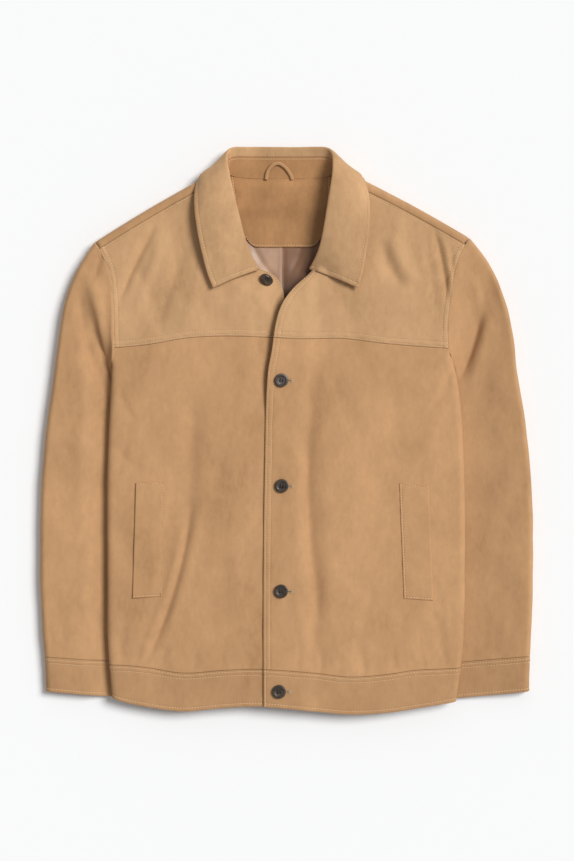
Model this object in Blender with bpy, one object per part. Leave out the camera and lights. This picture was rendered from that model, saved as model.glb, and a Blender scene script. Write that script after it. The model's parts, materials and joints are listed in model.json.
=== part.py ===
"""A man's suede jacket, buttoned and laid flat on its back.

Run it with: blender --background --python part.py

The object is built in metres, +Z up. The jacket lies on the plane z = 0 with its neck towards +Y, its hem
towards -Y and its fronts facing up, and the origin is the middle of its underside. A maker's pattern is drawn
in millimetres, so every size and table below is in millimetres, and add_solid turns them into metres.

The torso is one flattened tube. Its panels are cut from that tube and wrapped round its folded sides and
shoulders, the sleeves are rings that start at the armholes, and the collar is a strip round the neck.
Left and right are the wearer's: the wearer's left front is on +X and buttons over the right one.
"""

import math
from collections import namedtuple

import bmesh
import bpy
import numpy as np

MM = 0.001  # metres in one millimetre

# --------------------------------------------------------------------------------- driving dimensions

CLOTH = 2.0  # suede with its interlining
COLLAR_CLOTH = 2.2
FACING_CLOTH = 1.4
LINING_CLOTH = 1.0
SEAM = 0.3  # clearance between two pieces at a seam
YOKE_SEAM_GAP = 0.9  # the same along the yoke seams, whose walls tilt at the armholes
SIDE_SEAM_GAP = 2.2  # the same where the fronts' rounded sides meet the flatter back
ARMHOLE_SEAM = 1.4  # the same where the sleeve's rings meet the panels' rows
STACK = 0.7  # clearance between two layers that lie on each other

CHEST_HEIGHT = 26.0  # middle of the front layer over the floor
CHEST_CROWN = 3.0  # how much the front rises from its sides to its middle
SIDE_LIFT = 10.6  # how far the sides of the back lie up on the sleeves
SIDE_LIFT_INNER = 82.0  # distance from the side where that lift begins
SIDE_LIFT_OUTER = 56.0  # distance from the side where it is whole
FOLD_RADIUS = 7.0  # round fold down each side and along each shoulder
SIDE_SEAM_IN = 4.0  # side seam, on the lower half of the side fold
SHOULDER_SEAM_IN = 13.0  # shoulder seam, on the front, in from the shoulder fold
OVERLAP = 32.0  # the buttoned front lies whole on the other as far as this
OVERLAP_EASE = 44.0  # and comes down beside it over this width
UNDERARM_RUN_OUT = 14.0  # how far the side fold runs out beyond the armhole above the underarm
SHOULDER_RUN_OUT = 26.0  # and how much more of that there is near the shoulder
NECK_SINK = 3.0  # how much lower the front lies at the neck than on the chest
SHOULDER_LIFT_SHARE = 0.12  # share of the side lift that is left at the shoulders
COLLAR_LIFT = 3.4  # how far the back lies up on the collar
COLLAR_LIFT_INNER = 122.0  # that lift is whole as far as this from the collar's middle
COLLAR_LIFT_OUTER = 150.0  # and ends here
LAPEL_DROP = 9.0  # how far the buttoned front rolls down at the open neck
LAPEL_ROLL = 11.0  # width of that roll
UNDER_DROP = 16.0  # how far the front under it rolls down
UNDER_ROLL = 34.0  # width of that roll
BACK_ARM_START = 14.0  # the back's armhole begins this far above the underarm
SLEEVE_FOLD_RADIUS = 7.0  # round folds along a sleeve
STAND_LIMIT = 0.62  # the stand's seam is at most this share of the way down from the roll
EDGE_BUNCH = 1.25  # how much closer a front's columns are at its side
FACING_TOP = 340.3
FACING_FOOT = 250.0
FACING_HALF_TOP = 69.0
FACING_HALF_FOOT = 58.0
FACING_ROUND = 9.0  # how far the facing's foot rises at its rounded corners
LINING_FOOT = 110.0
LINING_TOP = 274.0
LINING_HALF = 96.0
LINING_MIDDLE = -6.0
NECK_MIDDLE = -8.0  # x of the neck's middle

BUTTON_RADIUS = 10.2
BUTTON_HEIGHT = 3.4
BUTTON_DISH_RADIUS = 7.2
BUTTON_DISH_DEPTH = 0.9
BUTTON_HOLE_RADIUS = 0.95
BUTTON_HOLE_SPACING = 3.4

WELT_WIDTH = 39.0
WELT_LENGTH = 155.0
LOOP_WIDTH = 4.6
LOOP_CLOTH = 1.2

# ----------------------------------------------------------------------------------------- the tables

Side = namedtuple("Side", "y left right")
TORSO_SIDES = [  # folded side edges, up to the underarms
    Side(-400, -233.0, 226.0),
    Side(-365, -237.0, 230.0),
    Side(-320, -241.5, 236.5),
    Side(-177, -244.0, 242.0),
    Side(-24, -243.0, 239.4),
    Side(30, -240.5, 236.5),
    Side(66, -238.5, 232.0),
    Side(104, -238.5, 223.5),
]
UNDERARM = {-1: 88.0, 1: 103.0}  # y of the underarm point on the right (-1) and left (+1) side of the wearer

Armhole = namedtuple("Armhole", "y left right")
ARMHOLES = [  # armhole seams
    Armhole(80, -240.0, 229.0),
    Armhole(100, -237.3, 221.5),
    Armhole(135, -236.8, 218.4),
    Armhole(185, -238.6, 223.0),
    Armhole(209, -241.0, 226.6),
    Armhole(232, -248.5, 233.0),
    Armhole(252, -259.0, 242.5),
    Armhole(266, -269.0, 252.5),
]

SHOULDER_POINT = {-1: (-262.0, 256.0), 1: (250.0, 261.0)}
SHOULDER_SEAM_FOOT = {-1: 247.0, 1: 251.0}  # y where the shoulder seam meets the armhole
NECK_CORNER = {-1: 221.0, 1: 216.0}  # y where a front's edge turns into the neckline
NECK_POINT = {-1: (-84.0, 359.0), 1: (66.0, 359.0)}
SHOULDER_CROWN = 3.2

Hem = namedtuple("Hem", "x seam edge")
FRONT_HEM = [  # waistband seam and bottom edge, along the fronts
    Hem(-245, -318.0, -361.0),
    Hem(-215, -319.0, -370.0),
    Hem(-186, -322.0, -375.5),
    Hem(-146, -328.5, -380.5),
    Hem(-85, -325.0, -376.0),
    Hem(-45, -323.5, -374.0),
    Hem(0, -325.5, -377.0),
    Hem(39, -329.0, -381.0),
    Hem(85, -334.0, -385.0),
    Hem(136, -330.5, -382.5),
    Hem(175, -325.0, -377.0),
    Hem(209, -323.5, -371.5),
    Hem(240, -322.0, -366.5),
]
SIDE_HEM = {"seam": {-1: -318.0, 1: -322.0}, "edge": {-1: -361.5, 1: -367.0}}  # y at the side seams
BACK_HEM_MIDDLE = {"seam": -319.0, "edge": -368.0}  # y at the middle of the back

YokeSeam = namedtuple("YokeSeam", "x y")
YOKE_SEAM = [
    YokeSeam(-240, 111.5),
    YokeSeam(-194, 115.6),
    YokeSeam(-131, 125.7),
    YokeSeam(-95, 127.6),
    YokeSeam(-33, 126.5),
    YokeSeam(10, 124.2),
    YokeSeam(81, 124.0),
    YokeSeam(130, 118.0),
    YokeSeam(188, 113.3),
    YokeSeam(222, 111.0),
]

Edge = namedtuple("Edge", "y x")
LEFT_FRONT_EDGE = [  # on top: straight down the buttons, rolled open above them, then the neckline
    Edge(-400, -31.5),
    Edge(-325, -32.0),
    Edge(-48, -30.0),
    Edge(60, -27.2),
    Edge(82, -25.5),
    Edge(109, -20.5),
    Edge(141, -16.0),
    Edge(165, -9.5),
    Edge(177, -3.5),
    Edge(195, 10.7),
    Edge(216, 33.7),
    Edge(237, 50.0),
    Edge(262, 63.0),
    Edge(292, 70.8),
    Edge(322, 76.6),
    Edge(350, 79.0),
]
RIGHT_FRONT_EDGE = [  # underneath, with the buttons
    Edge(-400, 7.0),
    Edge(60, 10.0),
    Edge(100, 11.0),
    Edge(130, 8.5),
    Edge(160, 1.5),
    Edge(179.5, -3.3),
    Edge(192, -5.8),
    Edge(205, -12.0),
    Edge(215, -23.5),
    Edge(221, -38.5),
    Edge(237, -58.0),
    Edge(262, -73.5),
    Edge(292, -83.2),
    Edge(322, -91.4),
    Edge(350, -95.5),
]

NeckEdge = namedtuple("NeckEdge", "half y")
BACK_NECK = [  # half width from the collar's middle line, and y, from the shoulder fold to the middle
    NeckEdge(87.0, 372.0),
    NeckEdge(85.5, 361.0),
    NeckEdge(80.0, 351.0),
    NeckEdge(69.0, 344.5),
    NeckEdge(46.0, 341.5),
    NeckEdge(0.0, 341.0),
]

Sleeve = namedtuple("Sleeve", "outer_x outer_y inner_x inner_y height")
SLEEVE_SECTIONS = {  # from the armhole down to the cuff's seam, then the cuff's end
    -1: [
        Sleeve(-284.0, 221.0, -235.5, 73.0, 21.0),
        Sleeve(-301.5, 178.0, -230.0, 46.0, 20.0),
        Sleeve(-310.5, 128.0, -221.0, 18.0, 20.0),
        Sleeve(-317.0, 78.0, -208.0, -14.0, 20.0),
        Sleeve(-325.5, 20.0, -200.0, -56.0, 20.0),
        Sleeve(-332.0, -42.0, -195.0, -104.0, 19.5),
        Sleeve(-335.5, -110.0, -193.5, -158.0, 19.0),
        Sleeve(-336.0, -180.0, -195.0, -212.0, 18.5),
        Sleeve(-334.5, -246.0, -197.0, -266.0, 18.0),
        Sleeve(-330.2, -308.0, -200.0, -317.0, 17.0),
        Sleeve(-328.0, -355.0, -202.0, -366.0, 16.0),
    ],
    1: [
        Sleeve(276.0, 226.0, 227.5, 84.0, 21.0),
        Sleeve(296.5, 178.0, 228.0, 50.0, 20.0),
        Sleeve(307.5, 132.0, 217.0, 20.0, 20.0),
        Sleeve(313.5, 80.0, 206.0, -12.0, 20.0),
        Sleeve(323.5, 20.0, 199.0, -54.0, 20.0),
        Sleeve(330.5, -42.0, 194.0, -104.0, 19.5),
        Sleeve(334.6, -110.0, 192.0, -158.0, 19.0),
        Sleeve(335.2, -180.0, 191.5, -212.0, 18.5),
        Sleeve(334.0, -246.0, 192.0, -268.0, 18.0),
        Sleeve(331.2, -307.0, 193.0, -320.0, 17.0),
        Sleeve(330.0, -355.0, 193.0, -369.0, 16.0),
    ],
}
SLEEVE_TUCKED = 8.3  # middle of the sleeve's upper wall where it lies under the body
SLEEVE_TUCK_WIDTH = 34.0  # the sleeve rises to its own height over this width beside the body

CollarSection = namedtuple("CollarSection", "neck roll middle outer")
COLLAR_SECTIONS = [  # each point is (half width from the middle line, y, z), from the front to the back
    CollarSection((36.0, 219.0, 15.0), (36.6, 219.6, 17.5), (69.0, 209.0, 31.0), (97.5, 192.5, 34.0)),
    CollarSection((51.5, 237.0, 22.0), (47.5, 240.0, 29.0), (76.0, 229.0, 37.0), (105.0, 213.0, 36.0)),
    CollarSection((66.0, 262.0, 28.0), (54.5, 264.0, 35.0), (83.0, 254.0, 40.0), (111.0, 240.0, 37.0)),
    CollarSection((75.5, 292.0, 29.0), (60.5, 294.0, 38.0), (89.0, 285.0, 41.0), (116.0, 270.0, 37.5)),
    CollarSection((82.0, 322.0, 27.5), (66.5, 323.0, 38.5), (96.0, 314.0, 39.0), (118.5, 301.0, 34.0)),
    CollarSection((83.0, 338.0, 23.0), (71.0, 346.0, 36.5), (102.0, 334.0, 34.0), (119.0, 325.0, 25.5)),
    CollarSection((82.0, 347.0, 18.0), (73.0, 361.0, 32.0), (104.5, 349.5, 21.0), (119.0, 341.0, 13.0)),
    CollarSection((77.0, 353.0, 12.0), (72.5, 375.0, 24.0), (98.0, 354.5, 10.0), (110.0, 341.0, 3.0)),
    CollarSection((64.0, 346.0, 7.0), (64.0, 384.0, 16.0), (80.0, 364.0, 4.0), (88.0, 325.0, 1.3)),
    CollarSection((38.0, 343.3, 6.0), (38.0, 385.0, 12.0), (41.0, 371.0, 2.4), (50.0, 314.0, 1.2)),
    CollarSection((0.0, 342.8, 6.0), (0.0, 385.0, 11.5), (0.0, 371.0, 1.8), (0.0, 310.0, 1.2)),
]
COLLAR_MIDDLE = ((200.0, -2.5), (385.0, -10.0))  # (y, x) at two places on the collar's slanting middle line
STAND_BELOW_ROLL = 13.0  # the stand's seam, inside the roll

Fold = namedtuple("Fold", "x0 y0 x1 y1 width height")
LARGE_FOLDS = [  # long soft ridges (+) and troughs (-) of the fronts: ends, half width, height
    Fold(-120, 60, -190, -290, 15.0, -3.0),
    Fold(-160, -110, -205, -330, 17.0, 2.2),
    Fold(22, 20, 34, -180, 14.0, -2.2),
    Fold(70, 95, 84, -330, 26.0, 2.0),
    Fold(-70, 90, -60, -330, 22.0, 1.6),
    Fold(140, 60, 150, -330, 22.0, -1.4),
    Fold(190, 90, 205, -300, 20.0, 1.4),
    Fold(-205, 235, -165, 120, 10.0, -2.2),
    Fold(-180, 280, -150, 150, 12.0, 2.2),
    Fold(190, 240, 205, 140, 9.0, -2.0),
    Fold(150, 300, 165, 150, 14.0, 1.6),
]

Button = namedtuple("Button", "x y")
BUTTONED = [Button(-8.0, 68.0), Button(-7.2, -74.8), Button(-8.0, -217.4), Button(-10.8, -353.2)]
TOP_BUTTON = Button(-29.5, 203.0)

Welt = namedtuple("Welt", "x y lean")
WELTS = {-1: Welt(-187.2, -148.0, 4.5), 1: Welt(175.0, -151.0, -6.2)}  # middle, and lean of the lower end

LoopPoint = namedtuple("LoopPoint", "x y")
HANGER_LOOP = [
    LoopPoint(-28.5, 343.0),
    LoopPoint(-26.0, 353.0),
    LoopPoint(-19.0, 361.5),
    LoopPoint(-10.5, 363.5),
    LoopPoint(-1.5, 357.5),
    LoopPoint(5.0, 348.5),
    LoopPoint(7.5, 343.0),
]

# ------------------------------------------------------------------------------------------ the grids

FRONT_COLUMNS = 13
FRONT_ROWS = 15
YOKE_ROWS = 13
WAISTBAND_ROWS = 2
BACK_ROWS = 20
SLEEVE_POINTS = 22
COLLAR_FALL_ROWS = 8
STAND_ROWS = 2

# --------------------------------------------------------------------------------------------- curves


def smooth(rows, along, value, at):
    """The smooth curve through one column of a table, read at positions along another column."""
    p = np.array([getattr(row, along) for row in rows], float)
    q = np.array([getattr(row, value) for row in rows], float)
    return hermite(p, q, at)


def hermite(p, q, at):
    """A cubic through the values q at rising positions p; past its ends it goes on straight."""
    at = np.asarray(at, float)
    slope = np.gradient(q, p)
    i = np.clip(np.searchsorted(p, at) - 1, 0, len(p) - 2)
    step = p[i + 1] - p[i]
    t = np.clip((at - p[i]) / step, 0, 1)
    inside = (
        (2 * t**3 - 3 * t**2 + 1) * q[i]
        + (t**3 - 2 * t**2 + t) * step * slope[i]
        + (3 * t**2 - 2 * t**3) * q[i + 1]
        + (t**3 - t**2) * step * slope[i + 1]
    )
    before = np.minimum(at - p[0], 0) * slope[0]
    after = np.maximum(at - p[-1], 0) * slope[-1]
    return inside + before + after


def ease(low, high, at):
    """0 below low, 1 above high, and smooth in between. With low above high it falls instead."""
    t = np.clip((np.asarray(at, float) - low) / (high - low), 0, 1)
    return t * t * (3 - 2 * t)


def mix(a, b, share):
    return a + (b - a) * share


def side_column(side):
    return "left" if side < 0 else "right"


def along(start, end, count):
    """Count points spaced evenly from start to end, as an array."""
    return np.linspace(start, end, count)


# --------------------------------------------------------------------------------------- torso's form


def armhole_x(side, y):
    return smooth(ARMHOLES, "y", side_column(side), y)


def side_x(side, y):
    """Middle of the cloth at the folded side. Past the underarm the fold runs out beyond the armhole."""
    edge = smooth(TORSO_SIDES, "y", side_column(side), np.minimum(y, UNDERARM[side]))
    run_out = UNDERARM_RUN_OUT * ease(UNDERARM[side] - 1, UNDERARM[side] + 26, y)
    run_out = run_out + SHOULDER_RUN_OUT * ease(185, 245, y)
    return edge - side * CLOTH / 2 + side * run_out


def shoulder_y(side, x):
    """Middle of the cloth at the folded shoulder, from the shoulder point up to the neck."""
    (x0, y0), (x1, y1) = SHOULDER_POINT[side], NECK_POINT[side]
    t = (np.asarray(x, float) - x0) / (x1 - x0)
    crown = SHOULDER_CROWN * np.sin(math.pi * np.clip(t, 0, 1))
    return y0 + (y1 - y0) * t + crown - CLOTH / 2


def folded(flat):
    """Where a pattern's point lies that is this far inside a fold: its distance in plan, and +1 before the
    fold or -1 once the cloth has gone round it. A point at least one fold radius inside stays where it is."""
    flat = np.asarray(flat, float)
    arc = flat + (math.pi / 2 - 1) * FOLD_RADIUS
    angle = np.clip(arc / FOLD_RADIUS, -math.pi / 2, math.pi / 2)
    round_it = FOLD_RADIUS * (1 - np.cos(angle))
    beyond = FOLD_RADIUS - arc - FOLD_RADIUS * math.pi / 2
    distance = np.where(flat >= FOLD_RADIUS, flat, np.where(angle <= -math.pi / 2, beyond, round_it))
    return distance, np.where(angle < 0, -1.0, 1.0)


def past_fold(distance):
    """The pattern's distance of a point that lies this far in from the fold on the far side of it."""
    return -((math.pi - 1) * FOLD_RADIUS + (distance - FOLD_RADIUS))


def fold_profile(distance):
    """0 at a fold and 1 from one radius inside it, along a quarter circle."""
    t = np.clip(distance / FOLD_RADIUS, 0, 1)
    return np.sqrt(1 - (1 - t) ** 2)


def edge_distance(x, y):
    """Distance in plan from the nearest folded side or shoulder."""
    nearest = np.full(np.shape(x), 1e3)
    for side in (-1, 1):
        nearest = np.minimum(nearest, side * (side_x(side, y) - x))
        on_shoulder = np.where(side * x > 0, shoulder_y(side, x) - y, 1e3)
        nearest = np.minimum(nearest, on_shoulder)
    return np.maximum(nearest, 0)


def fold_height(folds, x, y):
    """Height of the soft ridges and troughs of a table at a point."""
    total = np.zeros(np.shape(x))
    for fold in folds:
        run = np.array([fold.x1 - fold.x0, fold.y1 - fold.y0], float)
        length = np.hypot(*run)
        run /= length
        down = (x - fold.x0) * run[0] + (y - fold.y0) * run[1]
        across = (x - fold.x0) * run[1] - (y - fold.y0) * run[0]
        ends = ease(-0.12, 0.3, down / length) * ease(1.12, 0.7, down / length)
        total = total + fold.height * ends * np.exp(-((across / fold.width) ** 2))
    return total


def distance_to(edge, x, y, low, high):
    """Distance in plan from an edge's table, between two heights on it."""
    ys = along(low, high, 60)
    xs = smooth(edge, "y", "x", ys)
    gap = np.hypot(np.asarray(x)[..., None] - xs, np.asarray(y)[..., None] - ys)
    return gap.min(axis=-1)


def front_height(x, y):
    """Middle of the front layer over the floor, away from the folds."""
    inside = edge_distance(x, y)
    crown = CHEST_CROWN * ease(0, 120, inside)
    shoulder = -NECK_SINK * ease(170, 300, y)
    quiet = ease(2, 30, inside)
    return CHEST_HEIGHT - CHEST_CROWN + crown + shoulder + quiet * fold_height(LARGE_FOLDS, x, y)


def back_height(x, y):
    """Middle of the back layer: on the floor, over the sleeves at the sides and the collar at the neck."""
    inside = np.full(np.shape(x), 1e3)
    for side in (-1, 1):
        lift_from = side * (smooth(TORSO_SIDES, "y", side_column(side), np.minimum(y, UNDERARM[side])) - x)
        inside = np.where(side * x > 0, lift_from, inside)
    down_the_body = np.where(x < 0, ease(190, 100, y), ease(200, 115, y))
    share = mix(SHOULDER_LIFT_SHARE, 1.0, down_the_body)
    over_sleeve = SIDE_LIFT * ease(SIDE_LIFT_INNER, SIDE_LIFT_OUTER, inside) * share
    from_middle = np.abs(x - NECK_MIDDLE)
    over_collar = COLLAR_LIFT * ease(285, 308, y) * ease(COLLAR_LIFT_OUTER, COLLAR_LIFT_INNER, from_middle)
    return CLOTH / 2 + np.maximum(over_sleeve, over_collar)


def layer(x, y, face):
    """Height of the tube's upper (+1) or lower (-1) layer, brought together at the folds."""
    top, bottom = front_height(x, y), back_height(x, y)
    return (top + bottom) / 2 + face * (top - bottom) / 2 * fold_profile(edge_distance(x, y))


def drape(flat_x, flat_y, face):
    """The place of a pattern's point. face is +1 for a front and -1 for the back; a point past a folded side
    or shoulder goes round it to the other layer."""
    x, y = np.array(flat_x, float), np.array(flat_y, float)
    turned = np.ones(x.shape)
    for side in (-1, 1):
        edge = side_x(side, y)
        near = side * x > 0
        distance, turn = folded(side * (edge - x))
        x = np.where(near, edge - side * distance, x)
        turned = np.where(near, turned * turn, turned)
    for side in (-1, 1):
        near = side * x > 0
        edge = shoulder_y(side, x)
        distance, turn = folded(edge - y)
        y = np.where(near, edge - distance, y)
        turned = np.where(near, turned * turn, turned)
    return np.stack([x, y, layer(x, y, face * turned)], axis=-1)


# ------------------------------------------------------------------------------------- the two fronts


def front_settle(side, x, y):
    """What a front adds to the tube's height: the left one lies over the right, and both turn down at the
    neck."""
    if side > 0:
        lies_on = (CLOTH + STACK) * ease(OVERLAP + OVERLAP_EASE, OVERLAP, x)
        from_edge = distance_to(LEFT_FRONT_EDGE, x, y, 165, 232)
        rolled = LAPEL_DROP * (1 - fold_profile(from_edge * FOLD_RADIUS / LAPEL_ROLL))
        return lies_on - rolled * ease(168, 198, y) * ease(262, 228, y)
    from_edge = distance_to(RIGHT_FRONT_EDGE, x, y, 120, 236)
    return -UNDER_DROP * ease(UNDER_ROLL, 0, from_edge) * ease(115, 180, y) * ease(258, 225, y)


def front_edge(side, y):
    return smooth(LEFT_FRONT_EDGE if side > 0 else RIGHT_FRONT_EDGE, "y", "x", y)


def drape_front(side, flat_x, flat_y):
    place = drape(flat_x, flat_y, 1)
    place[..., 2] += front_settle(side, place[..., 0], place[..., 1])
    return place


def patch(left, right, bottom, top):
    """A four-sided grid of pattern points between its boundaries, which meet at the corners."""
    rows, columns = len(left), len(bottom)
    u = along(0, 1, columns)[None, :, None]
    v = along(0, 1, rows)[:, None, None]
    ruled = mix(left[:, None, :], right[:, None, :], u) + mix(bottom[None, :, :], top[None, :, :], v)
    corners = mix(mix(bottom[0], bottom[-1], u), mix(top[0], top[-1], u), v)
    return ruled - corners


def plan(xs, ys):
    return np.stack(np.broadcast_arrays(np.asarray(xs, float), np.asarray(ys, float)), axis=-1)


def side_seam_flat(side, y):
    """Pattern x of the side seam, just past the side fold."""
    angle = math.acos(1 - SIDE_SEAM_IN / FOLD_RADIUS)
    return side_x(side, y) + side * (angle + math.pi / 2 - 1) * FOLD_RADIUS


def outer_edge_of_front(side, y):
    """A front's outer boundary: the side seam up to the underarm, then the armhole."""
    seam = side_seam_flat(side, y) - side * SEAM / 2
    armhole = armhole_x(side, y)
    return np.where(y < UNDERARM[side], seam, armhole)


def hem_points(side, column, shift):
    """Pattern points along the waistband's seam or bottom edge, round the side to the side seam."""
    corner_y = SIDE_HEM[column][side]
    outer = side_seam_flat(side, corner_y) - side * SEAM / 2
    inner = front_edge(side, corner_y)
    share = along(0, 1, FRONT_COLUMNS) ** EDGE_BUNCH
    xs = mix(outer, inner, share)
    xs_in_table = np.clip(xs, FRONT_HEM[0].x, FRONT_HEM[-1].x)
    return plan(xs, smooth(FRONT_HEM, "x", column, xs_in_table) + shift)


def yoke_seam_points(side, shift):
    corner_y = 111.4
    share = along(0, 1, FRONT_COLUMNS) ** EDGE_BUNCH
    xs = mix(armhole_x(side, corner_y), front_edge(side, 125.0), share)
    return plan(xs, smooth(YOKE_SEAM, "x", "y", xs) + shift)


def ease_rows(count, bunch):
    """Row positions from 0 to 1 that are closer together towards the end."""
    return 1 - (1 - along(0, 1, count)) ** bunch


def lower_front(side):
    bottom = hem_points(side, "seam", SEAM / 2)
    top = yoke_seam_points(side, -YOKE_SEAM_GAP / 2)
    outer_y = mix(bottom[0, 1], top[0, 1], ease_rows(FRONT_ROWS, 1.5))
    outer = plan(outer_edge_of_front(side, outer_y), outer_y)
    outer[0], outer[-1] = bottom[0], top[0]
    inner_y = mix(bottom[-1, 1], top[-1, 1], along(0, 1, FRONT_ROWS))
    inner = plan(front_edge(side, inner_y), inner_y)
    inner[0], inner[-1] = bottom[-1], top[-1]
    grid = patch(outer, inner, bottom, top)
    return drape_front(side, grid[..., 0], grid[..., 1])


def waistband_front(side):
    bottom = hem_points(side, "edge", 0)
    top = hem_points(side, "seam", -SEAM / 2)
    share = along(0, 1, WAISTBAND_ROWS + 1)
    outer = plan(mix(bottom[0, 0], top[0, 0], share), mix(bottom[0, 1], top[0, 1], share))
    inner = plan(mix(bottom[-1, 0], top[-1, 0], share), mix(bottom[-1, 1], top[-1, 1], share))
    grid = patch(outer, inner, bottom, top)
    return drape_front(side, grid[..., 0], grid[..., 1])


def shoulder_seam_points(side, columns, shift):
    """Pattern points of the shoulder seam on the front, from the armhole to the neckline."""
    outer_y = SHOULDER_SEAM_FOOT[side]
    xs = mix(armhole_x(side, outer_y), front_edge(side, 345.0), along(0, 1, columns) ** 1.1)
    return plan(xs, shoulder_y(side, xs) - SHOULDER_SEAM_IN - shift)


def front_yoke(side):
    bottom = yoke_seam_points(side, YOKE_SEAM_GAP / 2)
    top = shoulder_seam_points(side, FRONT_COLUMNS, SEAM / 2)
    outer_y = mix(bottom[0, 1], top[0, 1], along(0, 1, YOKE_ROWS))
    outer = plan(armhole_x(side, outer_y), outer_y)
    outer[0], outer[-1] = bottom[0], top[0]
    corner_y = NECK_CORNER[side]
    below = max(3, YOKE_ROWS // 2)
    inner_y = np.concatenate(
        [
            mix(bottom[-1, 1], corner_y, ease_rows(below + 1, 1.35))[:-1],
            mix(corner_y, top[-1, 1], along(0, 1, YOKE_ROWS - below)),
        ]
    )
    inner = plan(front_edge(side, inner_y), inner_y)
    inner[0], inner[-1] = bottom[-1], top[-1]
    grid = patch(outer, inner, bottom, top)
    return drape_front(side, grid[..., 0], grid[..., 1])


# ----------------------------------------------------------------------------------------------- back


def collar_middle_x(y):
    (y0, x0), (y1, x1) = COLLAR_MIDDLE
    return mix(x0, x1, (np.asarray(y, float) - y0) / (y1 - y0))


def back_seam_inside():
    """Pattern distance of the back's side edge, inside the side fold it comes up to."""
    angle = math.acos(1 - SIDE_SEAM_IN / FOLD_RADIUS)
    return (angle - math.pi / 2 + 1) * FOLD_RADIUS + SIDE_SEAM_GAP


def back_top():
    """Pattern points of the back's top edge: a shoulder seam, the neckline and the other shoulder seam. The
    shoulder seams lie past the shoulder folds, on the front."""
    beyond = past_fold(SHOULDER_SEAM_IN)
    halves = {}
    for side in (-1, 1):
        outer_y = SHOULDER_SEAM_FOOT[side]
        neck_x = collar_middle_x(BACK_NECK[0].y) + side * BACK_NECK[0].half
        xs = mix(armhole_x(side, outer_y), neck_x, along(0, 1, 8))
        seam = plan(xs, shoulder_y(side, xs) - beyond - SEAM / 2)
        neck = [(float(collar_middle_x(p.y)) + side * p.half, p.y) for p in BACK_NECK]
        halves[side] = np.concatenate([seam, np.array(neck)])
    return np.concatenate([halves[-1], halves[1][-2::-1]])


def back_outer(side, bottom_y, count):
    """The back's side: up the side seam, out to the underarm, up the armhole and over the shoulder."""
    top_y = SHOULDER_POINT[side][1] - CLOTH / 2
    start_y = UNDERARM[side] + BACK_ARM_START
    seam_y = mix(bottom_y, start_y, ease_rows(count // 2 + 1, 1.4))[:-1]
    seam = plan(side_x(side, np.minimum(seam_y, UNDERARM[side] - 2)) - side * back_seam_inside(), seam_y)
    left_over = count - len(seam)
    wrapped = 4
    arm_y = mix(start_y, top_y - FOLD_RADIUS, along(0, 1, left_over - wrapped))
    arm = plan(armhole_x(side, arm_y), arm_y)
    distance = mix(FOLD_RADIUS, past_fold(SHOULDER_SEAM_IN), along(0, 1, wrapped + 1)[1:])
    inside, _ = folded(distance)
    edge_x = armhole_x(side, top_y - inside)
    over = plan(edge_x, shoulder_y(side, edge_x) - distance)
    return np.concatenate([seam, arm, over])


def back_hem_y(x, column):
    """Height of the back's waistband seam or edge: it meets the fronts' at the sides."""
    at_side = np.where(x < 0, SIDE_HEM[column][-1], SIDE_HEM[column][1])
    return mix(at_side, BACK_HEM_MIDDLE[column], ease(215, 150, np.abs(x)))


def back_hem_points(column, count, shift):
    ends = []
    for side in (-1, 1):
        y = float(back_hem_y(side * 240.0, column))
        ends.append(side_x(side, y) - side * back_seam_inside())
    share = along(0, 1, count)
    xs = mix(ends[0], ends[1], share)
    return plan(xs, back_hem_y(xs, column) + shift)


def back():
    top = back_top()
    bottom = back_hem_points("seam", len(top), SEAM / 2)
    left = back_outer(-1, bottom[0, 1], BACK_ROWS)
    right = back_outer(1, bottom[-1, 1], BACK_ROWS)
    left[0], left[-1] = bottom[0], top[0]
    right[0], right[-1] = bottom[-1], top[-1]
    grid = patch(left, right, bottom, top)
    return drape(grid[..., 0], grid[..., 1], -1)


def waistband_back():
    count = len(back_top())
    top = back_hem_points("seam", count, -SEAM / 2)
    bottom = back_hem_points("edge", count, 0)
    share = along(0, 1, WAISTBAND_ROWS + 1)[:, None, None]
    grid = mix(bottom[None], top[None], share)
    return drape(grid[..., 0], grid[..., 1], -1)


# ---------------------------------------------------------------------------------- sleeves and cuffs


def sleeve_ring(side, section, share, upper):
    """Points of one section of a sleeve: share runs from its outer fold (0) to its inner one (1)."""
    x = mix(section.outer_x - side * CLOTH / 2, section.inner_x, share)
    y = mix(section.outer_y, section.inner_y, share)
    body_edge = smooth(TORSO_SIDES, "y", side_column(side), np.minimum(y, UNDERARM[side]))
    clear_of_body = side * (x - body_edge)
    rises = ease(1.0, SLEEVE_TUCK_WIDTH, clear_of_body)
    top = mix(SLEEVE_TUCKED, section.height, rises)
    bottom = CLOTH / 2
    width = math.hypot(section.outer_x - section.inner_x, section.outer_y - section.inner_y)
    rounded = fold_profile(np.minimum(share, 1 - share) * width * FOLD_RADIUS / SLEEVE_FOLD_RADIUS)
    return plan3(x, y, (top + bottom) / 2 + upper * (top - bottom) / 2 * rounded)


def plan3(x, y, z):
    return np.stack(np.broadcast_arrays(x, y, z), axis=-1).astype(float)


def armhole_ring(side, share, upper):
    """The sleeve's first ring, just outside the armhole, on both layers of the body."""
    top_y = SHOULDER_POINT[side][1] - CLOTH / 2
    y = mix(top_y, UNDERARM[side], share)
    x = armhole_x(side, y)
    return plan3(x + side * ARMHOLE_SEAM, y, layer(x, y, upper))


def sleeve_grid(side, first, last):
    """Rings of a sleeve or a cuff from one section to another; section 0 is the armhole."""
    turn = along(0, 2 * math.pi, SLEEVE_POINTS + 1)[:-1]
    share = (1 - np.cos(turn)) / 2
    upper = np.where(turn < math.pi, 1.0, -1.0)
    rings = []
    for index in range(first, last + 1):
        if index == 0:
            ring = armhole_ring(side, share, upper)
        else:
            ring = sleeve_ring(side, SLEEVE_SECTIONS[side][index - 1], share, upper)
        rings.append(ring)
    return np.array(rings)


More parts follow.
